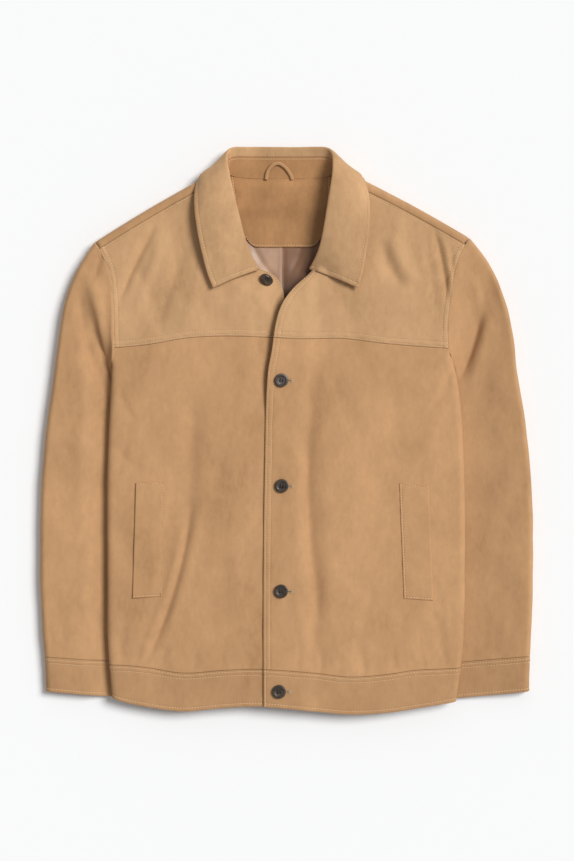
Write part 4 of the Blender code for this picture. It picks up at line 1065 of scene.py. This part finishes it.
def add_node(tree, kind, inputs=None, **settings):
    """A shader node with some of its settings and inputs given: a value is set, a socket is linked."""
    made = tree.nodes.new(kind)
    for key, value in settings.items():
        setattr(made, key, value)
    for key, value in (inputs or {}).items():
        if isinstance(value, bpy.types.NodeSocket):
            tree.links.new(value, made.inputs[key])
        else:
            made.inputs[key].default_value = value
    return made


def new_finish(name):
    """A new material, its node tree and its shader."""
    material = bpy.data.materials.new(name)
    material.use_nodes = True
    tree = material.node_tree
    shader = tree.nodes["Principled BSDF"]
    return material, tree, shader


def noise(tree, vector, scale, detail=3.0, roughness=0.55, distortion=0.0):
    values = {"Vector": vector, "Scale": scale, "Detail": detail}
    values |= {"Roughness": roughness, "Distortion": distortion}
    return add_node(tree, "ShaderNodeTexNoise", values).outputs["Fac"]


def wave(tree, vector, scale, distortion):
    values = {"Vector": vector, "Scale": scale, "Distortion": distortion}
    return add_node(tree, "ShaderNodeTexWave", values).outputs["Fac"]


def mapped(tree, vector, scale=(1.0, 1.0, 1.0), turn=0.0):
    values = {"Vector": vector, "Scale": scale, "Rotation": (0.0, 0.0, math.radians(turn))}
    return add_node(tree, "ShaderNodeMapping", values).outputs[0]


def map_range(tree, value, low, high, to_low=0.0, to_high=1.0):
    values = {0: value, 1: low, 2: high, 3: to_low, 4: to_high}
    return add_node(tree, "ShaderNodeMapRange", values).outputs[0]


def bumped(tree, shader, height, strength, distance):
    bump = add_node(tree, "ShaderNodeBump", {"Height": height, "Strength": strength, "Distance": distance})
    tree.links.new(bump.outputs[0], shader.inputs["Normal"])


def math_node(tree, operation, a, b):
    return add_node(tree, "ShaderNodeMath", {0: a, 1: b}, operation=operation).outputs[0]


def weighed(tree, parts):
    """The sum of some values, each times its weight."""
    scaled = [math_node(tree, "MULTIPLY", value, weight) for value, weight in parts]
    total = scaled[0]
    for value in scaled[1:]:
        total = math_node(tree, "ADD", total, value)
    return total


def mix_node(tree, share, first, second, blend="MIX"):
    values = {0: share, 6: first, 7: second}
    return add_node(tree, "ShaderNodeMix", values, data_type="RGBA", blend_type=blend).outputs[2]


def ramp(tree, value, stops):
    """A value read as a colour, between stops of a place and a colour."""
    made = add_node(tree, "ShaderNodeValToRGB", {"Fac": value})
    elements = made.color_ramp.elements
    while len(elements) < len(stops):
        elements.new(0.5)
    for element, (place, colour) in zip(elements, stops):
        element.position = place
        element.color = (*colour, 1.0)
    return made.outputs["Color"]


def shaded(colour, amount):
    """A colour made lighter (above 1) or darker (below 1)."""
    return tuple(min(1.0, channel * amount) for channel in colour)


def suede_finish(name, colour, deep, contrast):
    """Brushed suede: cloudy patches, hand marks, streaks of the nap, a fine velvety grain and painted shade
    along the rows of stitches.
    """
    material, tree, shader = new_finish(name)
    place = add_node(tree, "ShaderNodeTexCoord").outputs["Object"]
    drawn = mapped(tree, place, (14.0, 7.5, 14.0))
    patches = noise(tree, drawn, 1.0, 3.0, 0.5, 0.5)
    marks_at = mapped(tree, place, (62.0, 30.0, 62.0))
    marks = noise(tree, marks_at, 1.0, 7.0, 0.66, 0.3)
    streaks_at = mapped(tree, place, (170.0, 90.0, 170.0))
    streaks = noise(tree, streaks_at, 1.0, 5.0, 0.6)
    grain = noise(tree, place, 1150.0, 2.0, 0.6)
    tone = weighed(tree, ((patches, 0.42), (marks, 0.26), (streaks, 0.18), (grain, 0.14)))
    stops = (
        (0.5 - 0.16, shaded(mix_colour(colour, deep, 0.55), 1 - 0.10 * contrast)),
        (0.5 - 0.05, shaded(mix_colour(colour, deep, 0.15), 1 - 0.03 * contrast)),
        (0.5 + 0.04, shaded(colour, 1 + 0.03 * contrast)),
        (0.5 + 0.15, shaded(colour, 1 + 0.17 * contrast)),
    )
    cloth = ramp(tree, tone, stops)
    # Painted shade: the colour is drawn towards the deep suede along the rows of stitches.
    sewn = add_node(tree, "ShaderNodeAttribute", attribute_name="seam").outputs["Fac"]
    painted_seam_shade = math_node(tree, "MULTIPLY", sewn, 0.30)
    tree.links.new(mix_node(tree, painted_seam_shade, cloth, (*deep, 1.0)), shader.inputs["Base Color"])
    nap = weighed(tree, ((grain, 0.6), (marks, 0.9), (streaks, 0.5)))
    bumped(tree, shader, nap, 0.35, 0.0006)
    tree.links.new(map_range(tree, marks, 0.3, 0.7, 0.84, 0.97), shader.inputs["Roughness"])
    shader.inputs["Specular IOR Level"].default_value = 0.18
    shader.inputs["Sheen Weight"].default_value = 0.22
    shader.inputs["Sheen Roughness"].default_value = 0.45
    shader.inputs["Sheen Tint"].default_value = (1.0, 0.86, 0.68, 1.0)
    return material


def mix_colour(a, b, share):
    return tuple(mix(p, q, share) for p, q in zip(a, b))


def satin_finish(name, colour):
    """Smooth lining satin with a fine twill rib; past the centre pleat its colour is darkened as painted
    shade, most towards the foot of the open neck.
    """
    material, tree, shader = new_finish(name)
    place = add_node(tree, "ShaderNodeTexCoord").outputs["Object"]
    clouds = noise(tree, place, 30.0, 3.0)
    cloth = ramp(tree, clouds, ((0.3, shaded(colour, 0.86)), (0.7, shaded(colour, 1.12))))
    spread_out = add_node(tree, "ShaderNodeSeparateXYZ", {"Vector": place}).outputs
    # Painted shade: past the centre pleat the lining's colour is darkened, the more so towards the foot of
    # the open neck.
    past_pleat = map_range(tree, spread_out["X"], (PLEAT_X - 0.8) * MM, (PLEAT_X + 0.8) * MM)
    up_chest = map_range(tree, spread_out["Y"], *(y * MM for y in LINING_PAINTED_SHADE_HEIGHTS))
    painted_shade = mix_node(tree, up_chest, (0.17, 0.11, 0.07, 1.0), (0.50, 0.38, 0.29, 1.0))
    tone = mix_node(tree, past_pleat, (1.0, 1.0, 1.0, 1.0), painted_shade)
    tree.links.new(mix_node(tree, 1.0, cloth, tone, "MULTIPLY"), shader.inputs["Base Color"])
    turned = mapped(tree, place, turn=32)
    rib = wave(tree, turned, 420.0, 0.4)
    bumped(tree, shader, rib, 0.12, 0.0002)
    tree.links.new(map_range(tree, clouds, 0.3, 0.7, 0.38, 0.52), shader.inputs["Roughness"])
    shader.inputs["Sheen Weight"].default_value = 0.25
    return material


def thread_finish(name, colour):
    """Twisted sewing thread."""
    material, tree, shader = new_finish(name)
    place = add_node(tree, "ShaderNodeTexCoord").outputs["Object"]
    twist = wave(tree, place, 900.0, 1.0)
    cloth = ramp(tree, twist, ((0.2, shaded(colour, 0.78)), (0.8, shaded(colour, 1.1))))
    tree.links.new(cloth, shader.inputs["Base Color"])
    shader.inputs["Roughness"].default_value = 0.6
    return material


def horn_finish(name, colour):
    """Polished dark horn with drawn-out mottling."""
    material, tree, shader = new_finish(name)
    place = add_node(tree, "ShaderNodeTexCoord").outputs["Object"]
    drawn = mapped(tree, place, (90.0, 210.0, 90.0))
    mottle = noise(tree, drawn, 1.0, 5.0, 0.6, 0.8)
    stops = (
        (0.35, shaded(colour, 0.55)),
        (0.55, colour),
        (0.72, mix_colour(shaded(colour, 1.6), (0.16, 0.09, 0.045), 0.2)),
    )
    tree.links.new(ramp(tree, mottle, stops), shader.inputs["Base Color"])
    tree.links.new(map_range(tree, mottle, 0.3, 0.7, 0.34, 0.46), shader.inputs["Roughness"])
    shader.inputs["Coat Weight"].default_value = 0.15
    shader.inputs["Coat Roughness"].default_value = 0.15
    return material


def plain_finish(name, colour, roughness):
    """A matt surface with the slightest unevenness."""
    material, tree, shader = new_finish(name)
    place = add_node(tree, "ShaderNodeTexCoord").outputs["Object"]
    clouds = noise(tree, place, 2.0)
    stops = ((0.3, shaded(colour, 0.998)), (0.7, colour))
    tree.links.new(ramp(tree, clouds, stops), shader.inputs["Base Color"])
    shader.inputs["Roughness"].default_value = roughness
    shader.inputs["Specular IOR Level"].default_value = 0.0
    return material


FINISHES = {}


def finish(name):
    """A finish made once and shared by the pieces cut from it."""
    if name not in FINISHES:
        looks = bpy.context.scene.jacket_looks
        deep = tuple(looks.deep)
        makers = {
            "suede_yoke": lambda: suede_finish(name, tuple(looks.yoke), deep, 0.9),
            "suede_collar": lambda: suede_finish(name, shaded(looks.yoke, 0.97), deep, 1.5),
            "suede_front": lambda: suede_finish(name, tuple(looks.front), deep, 1.0),
            "suede_band": lambda: suede_finish(name, shaded(looks.sleeve, 0.91), deep, 1.0),
            "suede_sleeve": lambda: suede_finish(name, tuple(looks.sleeve), deep, 1.0),
            "suede_inside": lambda: suede_finish(name, tuple(looks.inside), deep, 2.0),
            "satin": lambda: satin_finish(name, tuple(looks.lining)),
            "thread": lambda: thread_finish(name, tuple(looks.thread)),
            "hole_thread": lambda: thread_finish(name, shaded(looks.thread, 0.62)),
            # Dark thread of the buttons, also used as the painted shade along the buttonhole slits.
            "dark_thread": lambda: thread_finish(name, (0.008, 0.006, 0.005)),
            "horn": lambda: horn_finish(name, tuple(looks.horn)),
            "studio_floor": lambda: plain_finish(name, tuple(looks.floor), 0.9),
        }
        FINISHES[name] = makers[name]()
    return FINISHES[name]


# -------------------------------------------------------------------------------------------------- settings


def colour_property(label, description, default):
    return FloatVectorProperty(
        name=label, description=description, default=default, subtype="COLOR", size=3, min=0.0, max=1.0
    )


def length_property(label, description, default):
    return FloatProperty(name=label, description=description, default=default, unit="LENGTH")


class JacketLooks(bpy.types.PropertyGroup):
    """Colours of the jacket's materials."""

    yoke: colour_property("Yoke suede", "Suede of the chest yokes and the collar", (0.545, 0.325, 0.165))
    front: colour_property("Front suede", "Suede of the lower fronts and the welts", (0.505, 0.285, 0.138))
    sleeve: colour_property("Sleeve suede", "Suede of the sleeves and the back", (0.495, 0.280, 0.136))
    inside: colour_property("Inside suede", "Suede of the neck facing and the stand", (0.43, 0.225, 0.098))
    # Deep suede is the dark of the nap's patches and also the painted shade along the rows of stitches.
    deep: colour_property("Deep suede", "Suede where the nap is pressed down", (0.36, 0.185, 0.075))
    lining: colour_property("Lining", "Satin lining", (0.45, 0.275, 0.175))
    thread: colour_property("Thread", "Thread of the seams", (0.78, 0.54, 0.31))
    horn: colour_property("Horn", "Dark horn of the buttons", (0.045, 0.030, 0.021))
    floor: colour_property("Floor", "Surface that the jacket lies on", (0.91, 0.912, 0.915))


class JacketCloth(bpy.types.PropertyGroup):
    """Sizes of the cloth's mesh and of the sewing."""

    spacing: length_property("Mesh spacing", "Distance between the cloth's mesh lines", 3.4 * MM)
    pitch: length_property("Stitch pitch", "Distance from one stitch to the next", 3.9 * MM)
    stitch: length_property("Stitch length", "Length of the thread of one stitch", 2.7 * MM)
    thread: length_property("Thread width", "Thickness of the sewing thread", 1.05 * MM)
    button_sides: IntProperty(
        name="Button sides", description="Sides of a button's rim", default=56, min=16, max=128
    )


class JacketStage(bpy.types.PropertyGroup):
    """Camera and light of the stage."""

    height: length_property("Camera height", "Height of the camera over the floor", 2.780)
    lens: FloatProperty(name="Lens", description="Focal length of the camera", default=85.0, unit="CAMERA")
    sun: FloatProperty(name="Key light", description="Strength of the key light", default=2.84, min=0.0)
    sun_size: FloatProperty(
        name="Key softness", description="Angle of the key light", default=math.radians(26), subtype="ANGLE"
    )
    fill: FloatProperty(name="Fill light", description="Strength of the light around", default=0.36, min=0.0)


def spacing_mm():
    return bpy.context.scene.jacket_cloth.spacing / MM


def stitch(name, lines, cloth):
    """Rows of seam stitches on the outer side of a cloth of this thickness."""
    cut = bpy.context.scene.jacket_cloth
    sizes = [size / MM for size in (cut.pitch, cut.stitch, cut.thread)]
    sew_stitches(name, lines, finish("thread"), *sizes, cloth / 2 + STITCH_LIFT)


def make_cloth(node, sheet, look, rows=(), reach=(), thickness=CLOTH,
               cloth="suede", open_edges=ALL_EDGES):
    """Sews a node's sheet and its rows of stitches, and says what it rides on, stands for and was cut from.
    rows holds the rows' distances from each edge, and reach the share of an edge that its rows take up."""
    rows, reach = dict(rows), dict(reach)
    sheet.stitch_dips(rows)
    piece = sew_sheet(f"{node}_{cloth}", sheet, thickness, finish(look), open_edges)
    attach(piece, "root")
    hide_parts(node)
    if rows:
        places = [(edge, row) for edge, at in rows.items() for row in at]
        lines = [sheet.line(edge, row, *reach.get(edge, ())) for edge, row in places]
        stitch(f"{node}_stitches", lines, thickness)


SIDES = ((-1, "right"), (1, "left"))
LAID = {-1: [], 1: []}  # each front's finished sheets, which the buttons are sewn on


# ------------------------------------------------------------------------------------------------- operators


class JACKET_OT_fronts(bpy.types.Operator):
    """Makes the two lower fronts with their creases, edge rows and stitches"""

    bl_idname = "jacket.fronts"
    bl_label = "Lower Fronts"

    def execute(self, context):
        for side, name in SIDES:
            sheet = Sheet(lower_front(side, spacing_mm()))
            sheet.crease(FRONT_CREASES + HEM_PUCKERS)
            sheet.uneven(10 + side, 0.45)
            LAID[side].append(sheet)
            rows = {"inner": EDGE_ROWS[side]}
            make_cloth(f"front_{name}", sheet, "suede_front", rows)
        return {"FINISHED"}


class JACKET_OT_yokes(bpy.types.Operator):
    """Makes the two chest yokes with the double rows along their seams"""

    bl_idname = "jacket.yokes"
    bl_label = "Chest Yokes"

    def execute(self, context):
        for side, name in SIDES:
            sheet = Sheet(front_yoke(side, spacing_mm()))
            sheet.crease(FRONT_CREASES)
            sheet.uneven(20 + side, 0.4)
            LAID[side].append(sheet)
            rows = {"bottom": SEAM_ROWS, "outer": SEAM_ROWS, "inner": EDGE_ROWS[side], "top": (WELT_ROW,)}
            reach = {"inner": (0.0, 0.62), "top": (0.0, 0.85)}
            make_cloth(f"yoke_{name}", sheet, "suede_yoke", rows, reach)
        return {"FINISHED"}


class JACKET_OT_waistbands(bpy.types.Operator):
    """Makes the waistband: a piece for each front and one for the back"""

    bl_idname = "jacket.waistbands"
    bl_label = "Waistband"

    def execute(self, context):
        for side, name in SIDES:
            sheet = Sheet(waistband_front(side, spacing_mm()))
            sheet.crease(HEM_PUCKERS)
            sheet.uneven(30 + side, 0.45, 22.0)
            LAID[side].append(sheet)
            rows = {**BAND_ROWS, "inner": EDGE_ROWS[1][:1]}
            make_cloth(f"waistband_{name}", sheet, "suede_band", rows)
        sheet = Sheet(waistband_back(spacing_mm() * 1.5), facing=-1)
        make_cloth("waistband_back", sheet, "suede_band", BAND_ROWS)
        return {"FINISHED"}


class JACKET_OT_back(bpy.types.Operator):
    """Makes the back, which comes over the shoulders to the shoulder seams"""

    bl_idname = "jacket.back"
    bl_label = "Back"

    def execute(self, context):
        sheet = Sheet(back_panel(BACK_SPACING), facing=-1)
        flat_on_floor = ease(4.0, 9.0, sheet.grid[..., 2])
        x, y = sheet.grid[..., 0], sheet.grid[..., 1]
        sheet.raise_by((1 - flat_on_floor) * -np.abs(fold_height(BACK_CREASES, x, y)))
        sheet.stitch_dips({"bottom": (2.6,)})
        make_cloth("back", sheet, "suede_sleeve")
        return {"FINISHED"}


class JACKET_OT_sleeves(bpy.types.Operator):
    """Makes the two sleeves and their cuffs"""

    bl_idname = "jacket.sleeves"
    bl_label = "Sleeves and Cuffs"

    def execute(self, context):
        for side, name in SIDES:
            last = len(SLEEVE_SECTIONS[side]) - 1
            sheet = Sheet(sleeve_tube(side, 0, last, spacing_mm() * 1.1), closed=True)
            sheet.crease(SLEEVE_CREASES, 1)
            sheet.uneven(50 + side, 0.5)
            make_cloth(f"sleeve_{name}", sheet, "suede_sleeve")
            cuff = Sheet(sleeve_tube(side, last, last + 1, spacing_mm()), closed=True)
            cuff.uneven(60 + side, 0.35, 18.0)
            make_cloth(f"cuff_{name}", cuff, "suede_band", CUFF_ROWS)
        return {"FINISHED"}


class JACKET_OT_collar(bpy.types.Operator):
    """Makes the collar's fall and stand"""

    bl_idname = "jacket.collar"
    bl_label = "Collar"

    def execute(self, context):
        sheet = Sheet(collar_fall(spacing_mm()))
        sheet.uneven(71, 0.35, 24.0)
        rows = {edge: (COLLAR_ROW,) for edge in ("top", "outer", "inner")}
        reach = {"top": (0.02, 0.98), "outer": (0.2, 0.93), "inner": (0.2, 0.93)}
        make_cloth(
            "collar_fall", sheet, "suede_collar", rows, reach,
            COLLAR_CLOTH,
        )
        sheet = Sheet(collar_stand(spacing_mm()))
        thickness = COLLAR_CLOTH * 0.8
        make_cloth(
            "collar_stand", sheet, "suede_inside",
            thickness=thickness,
        )
        stitch("collar_stand_stitches", [sheet.line("top", STAND_ROW, 0.3, 0.7)], thickness)
        return {"FINISHED"}


class JACKET_OT_neck(bpy.types.Operator):
    """Makes what shows inside the neck: the facing, the lining and the hanger loop"""

    bl_idname = "jacket.neck"
    bl_label = "Facing, Lining and Loop"

    def execute(self, context):
        sheet = Sheet(facing_grid(spacing_mm() * 0.8))
        rows = {edge: (FACING_ROW,) for edge in ("bottom", "outer", "inner")}
        make_cloth(
            "back_facing", sheet, "suede_inside", rows,
            thickness=FACING_CLOTH,
        )
        sheet = Sheet(lining_grid(2.6))
        sheet.crease(LINING_CREASES)
        make_cloth(
            "back_lining", sheet, "satin",
            thickness=LINING_CLOTH, cloth="satin",
        )
        make_cloth(
            "hanger_loop", Sheet(loop_grid()), "suede_front",
            thickness=LOOP_CLOTH, open_edges=("bottom", "top"),
        )
        return {"FINISHED"}


class JACKET_OT_welts(bpy.types.Operator):
    """Makes the two slanted pocket welts"""

    bl_idname = "jacket.welts"
    bl_label = "Pocket Welts"

    def execute(self, context):
        for side, name in SIDES:
            sheet = Sheet(welt_grid(side, spacing_mm()))
            sheet.crease(FRONT_CREASES)
            opening = "outer" if side < 0 else "inner"
            rows = {edge: (WELT_ROW,) for edge in ALL_EDGES if edge != opening}
            make_cloth(f"welt_{name}", sheet, "suede_front", rows)
        return {"FINISHED"}


def on_cloth(side, x, y):
    """The point of a front's creased surface over a place on the floor, from the nearest of its points."""
    points = np.concatenate([sheet.grid.reshape(-1, 3) for sheet in LAID[side]])
    away = np.hypot(points[:, 0] - x, points[:, 1] - y)
    nearest = np.argsort(away)[:5]
    weight = 1 / (away[nearest] + 0.2) ** 2
    return np.array([x, y, (points[nearest, 2] * weight).sum() / weight.sum()])


def front_frame(side, x, y):
    """A point on a front's surface and its upward normal."""
    step = 6.0
    east, west = (on_cloth(side, x + way * step, y) for way in (1, -1))
    north, south = (on_cloth(side, x, y + way * step) for way in (1, -1))
    normal = np.cross(east - west, north - south)
    return on_cloth(side, x, y), normal / np.linalg.norm(normal)


def model_button(sides):
    """A four-hole button with a raised rim round its dish, at the origin."""
    deselect_all()
    middle = Vector((0, 0, BUTTON_HEIGHT / 2 * MM))
    bpy.ops.mesh.primitive_cylinder_add(
        vertices=sides, radius=BUTTON_RADIUS * MM, depth=BUTTON_HEIGHT * MM, location=middle
    )
    button = bpy.context.object
    bpy.ops.object.transform_apply(location=True, rotation=False, scale=False)
    bpy.ops.object.mode_set(mode="EDIT")
    bpy.ops.mesh.select_mode(type="FACE")
    bpy.ops.mesh.select_all(action="DESELECT")
    bpy.ops.object.mode_set(mode="OBJECT")
    for polygon in button.data.polygons:
        polygon.select = polygon.normal.z > 0.9
    bpy.ops.object.mode_set(mode="EDIT")
    bpy.ops.mesh.inset(thickness=1.1 * MM, depth=0)
    bpy.ops.mesh.inset(thickness=1.5 * MM, depth=0.35 * MM)
    bpy.ops.mesh.inset(thickness=0.9 * MM, depth=-1.0 * MM)
    bpy.ops.mesh.inset(thickness=0.9 * MM, depth=-0.15 * MM)
    bpy.ops.object.mode_set(mode="OBJECT")
    bevel = button.modifiers.new("rounded", "BEVEL")
    bevel.width = 0.55 * MM
    bevel.segments = 3
    bevel.limit_method = "ANGLE"
    bevel.angle_limit = math.radians(28)
    apply_modifiers(button)
    for index in range(4):
        angle = math.pi / 4 + index * math.pi / 2
        place = Vector((math.cos(angle), math.sin(angle), 0)) * BUTTON_HOLE_OUT * MM
        deselect_all()
        bpy.ops.mesh.primitive_cylinder_add(
            vertices=16, radius=BUTTON_HOLE_RADIUS * MM, depth=12 * MM, location=place
        )
        cutter = bpy.context.object
        cut = button.modifiers.new("hole", "BOOLEAN")
        cut.operation = "DIFFERENCE"
        cut.object = cutter
        apply_modifiers(button)
        bpy.data.objects.remove(cutter)
    select_only(button)
    bpy.ops.object.shade_smooth_by_angle(angle=math.radians(35))
    return button


def set_on(piece, place, normal, turn=0.0):
    """Puts a piece on a surface and moves its place into its mesh."""
    select_only(piece)
    piece.rotation_mode = "QUATERNION"
    tilt = Vector((0, 0, 1)).rotation_difference(Vector(normal))
    spin = Vector((math.cos(turn), math.sin(turn), 0))
    piece.rotation_quaternion = tilt @ Vector((1, 0, 0)).rotation_difference(spin)
    piece.location = Vector(place) * MM
    bpy.ops.object.transform_apply(location=True, rotation=True, scale=True)


class JACKET_OT_buttons(bpy.types.Operator):
    """Makes the five horn buttons, their thread and the buttonholes"""

    bl_idname = "jacket.buttons"
    bl_label = "Buttons and Buttonholes"

    def execute(self, context):
        model = model_button(context.scene.jacket_cloth.button_sides)
        model.data.materials.append(finish("horn"))
        places = [(-1, TOP_BUTTON, 1.4)] + [(1, button, 0.5) for button in BUTTONED]
        threads = []
        for index, (side, button, clear) in enumerate(places):
            place, normal = front_frame(side, button.x, button.y)
            if index == 0:
                normal = normal + np.array([0.28, 0.26, 0.0])
                normal /= np.linalg.norm(normal)
            copy = model.copy()
            copy.data = model.data.copy()
            copy.name = f"button_{index + 1}_horn"
            copy.data.name = copy.name
            context.scene.collection.objects.link(copy)
            seat = place + normal * (CLOTH / 2 + clear)
            set_on(copy, seat, normal, (index * 1.3) % 0.6 - 0.3)
            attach(copy, "root")
            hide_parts(f"button_{index + 1}")
            threads.append((seat, normal, (index * 1.3) % 0.6 - 0.3))
        bpy.data.objects.remove(model)
        self.sew_on(threads)
        self.buttonholes()
        return {"FINISHED"}

    def sew_on(self, seats):
        """Two bars of thread across each button's holes, each of two threads that arch over the middle."""
        lines = []
        for seat, normal, turn in seats:
            tilt = Vector((0, 0, 1)).rotation_difference(Vector(normal)).to_matrix()
            turned = np.array(tilt @ Matrix.Rotation(turn, 3, "Z"))
            for x in (-2.05, -1.35, 1.35, 2.05):
                ends = np.array([(x, y, 2.6 if abs(y) < 1.9 else 2.35) for y in (-2.3, -1.6, 1.6, 2.3)])
                lines.append((seat + ends @ turned.T, np.tile(normal, (4, 1))))
        sew_stitches("button_thread", lines, finish("dark_thread"), 4.2, 4.6, 1.0, 0.0)

    def buttonholes(self):
        """A row of short stitches round each slit, close together, and a near-black bar along each slit as
        painted shade for its opening.
        """
        threads, slits = [], []
        for button in BUTTONED:
            _, normal = front_frame(1, button.x, button.y)
            normals = np.array([normal, normal])
            centre = np.array([button.x, button.y]) + HOLE_CENTRE
            for turn in along(0, 2 * math.pi, HOLE_STITCHES + 1)[:-1]:
                cosine, end = math.cos(turn), math.copysign(1.0, math.cos(turn))
                out = np.array([end * abs(cosine) ** 0.35 * HOLE_HALF, math.sin(turn) * HOLE_REACH])
                away = np.array([end, 0.0] if abs(cosine) > 0.96 else [0.0, 1.0 if out[1] > 0 else -1.0])
                frames = [front_frame(1, *(centre + out + away * step)) for step in (-1.0, 1.0)]
                threads.append((np.array([point + up * (CLOTH / 2) for point, up in frames]), normals))
            ends = [front_frame(1, centre[0] + step, centre[1])[0] for step in (-HOLE_HALF, HOLE_HALF)]
            # Painted shade: a near-black bar along the slit stands for its opening.
            slits.append((np.array(ends) + normal * (CLOTH / 2 + SLIT_LIFT), normals))
        sew_stitches("buttonhole_thread", threads, finish("hole_thread"), 1.0, 2.4, 0.5, 0.1)
        sew_stitches("buttonhole_slits", slits, finish("dark_thread"), 20.0, 20.0, 0.7, 0.0)


FLOOR_SIZE = 40.0
KEY_FROM = (0.84, 0.46, 1.14)


class JACKET_OT_stage(bpy.types.Operator):
    """Makes the white floor, the soft light and the camera"""

    bl_idname = "jacket.stage"
    bl_label = "Stage"

    def execute(self, context):
        scene = context.scene
        stage = scene.jacket_stage
        deselect_all()
        bpy.ops.mesh.primitive_plane_add(size=FLOOR_SIZE, location=(0, 0, 0))
        floor = context.object
        floor.name = "studio_floor"
        bpy.ops.object.transform_apply(location=True, rotation=True, scale=True)
        floor.data.materials.append(finish("studio_floor"))
        bpy.ops.object.light_add(type="SUN", location=(1.2, 1.4, 2.4))
        key = context.object
        key.name = "key_light"
        key.data.energy = stage.sun
        key.data.angle = stage.sun_size
        key.rotation_euler = Vector(KEY_FROM).to_track_quat("Z", "Y").to_euler()
        world = bpy.data.worlds.new("studio")
        scene.world = world
        world.use_nodes = True
        sky = world.node_tree.nodes["Background"]
        sky.inputs["Color"].default_value = (1.0, 1.0, 1.0, 1.0)
        sky.inputs["Strength"].default_value = stage.fill
        bpy.ops.object.camera_add(location=(0, 0, stage.height), rotation=(0, 0, 0))
        camera = context.object
        camera.name = "camera"
        camera.data.lens = stage.lens
        camera.data.clip_end = 20.0
        scene.camera = camera
        scene.view_settings.view_transform = "Standard"
        return {"FINISHED"}


PIECE_OPERATORS = (
    JACKET_OT_stage,
    JACKET_OT_back,
    JACKET_OT_sleeves,
    JACKET_OT_fronts,
    JACKET_OT_yokes,
    JACKET_OT_waistbands,
    JACKET_OT_welts,
    JACKET_OT_neck,
    JACKET_OT_collar,
    JACKET_OT_buttons,
)


class JACKET_PT_panel(bpy.types.Panel):
    """Lists the jacket's pieces and their settings"""

    bl_idname = "JACKET_PT_panel"
    bl_label = "Suede Jacket"
    bl_space_type = "VIEW_3D"
    bl_region_type = "UI"
    bl_category = "Jacket"

    def draw(self, context):
        for settings in (context.scene.jacket_looks, context.scene.jacket_cloth, context.scene.jacket_stage):
            box = self.layout.box()
            for key in settings.__annotations__:
                box.prop(settings, key)
        for operator in PIECE_OPERATORS:
            self.layout.operator(operator.bl_idname)


SETTINGS = {"jacket_looks": JacketLooks, "jacket_cloth": JacketCloth, "jacket_stage": JacketStage}


def register():
    for kind in (*SETTINGS.values(), *PIECE_OPERATORS, JACKET_PT_panel):
        bpy.utils.register_class(kind)
    for name, kind in SETTINGS.items():
        setattr(bpy.types.Scene, name, PointerProperty(type=kind))


def unregister():
    for name in SETTINGS:
        delattr(bpy.types.Scene, name)
    for kind in (JACKET_PT_panel, *PIECE_OPERATORS, *SETTINGS.values()):
        bpy.utils.unregister_class(kind)


def main():
    register()
    for operator in PIECE_OPERATORS:
        group, name = operator.bl_idname.split(".")
        getattr(getattr(bpy.ops, group), name)()


if __name__ == "__main__":
    main()
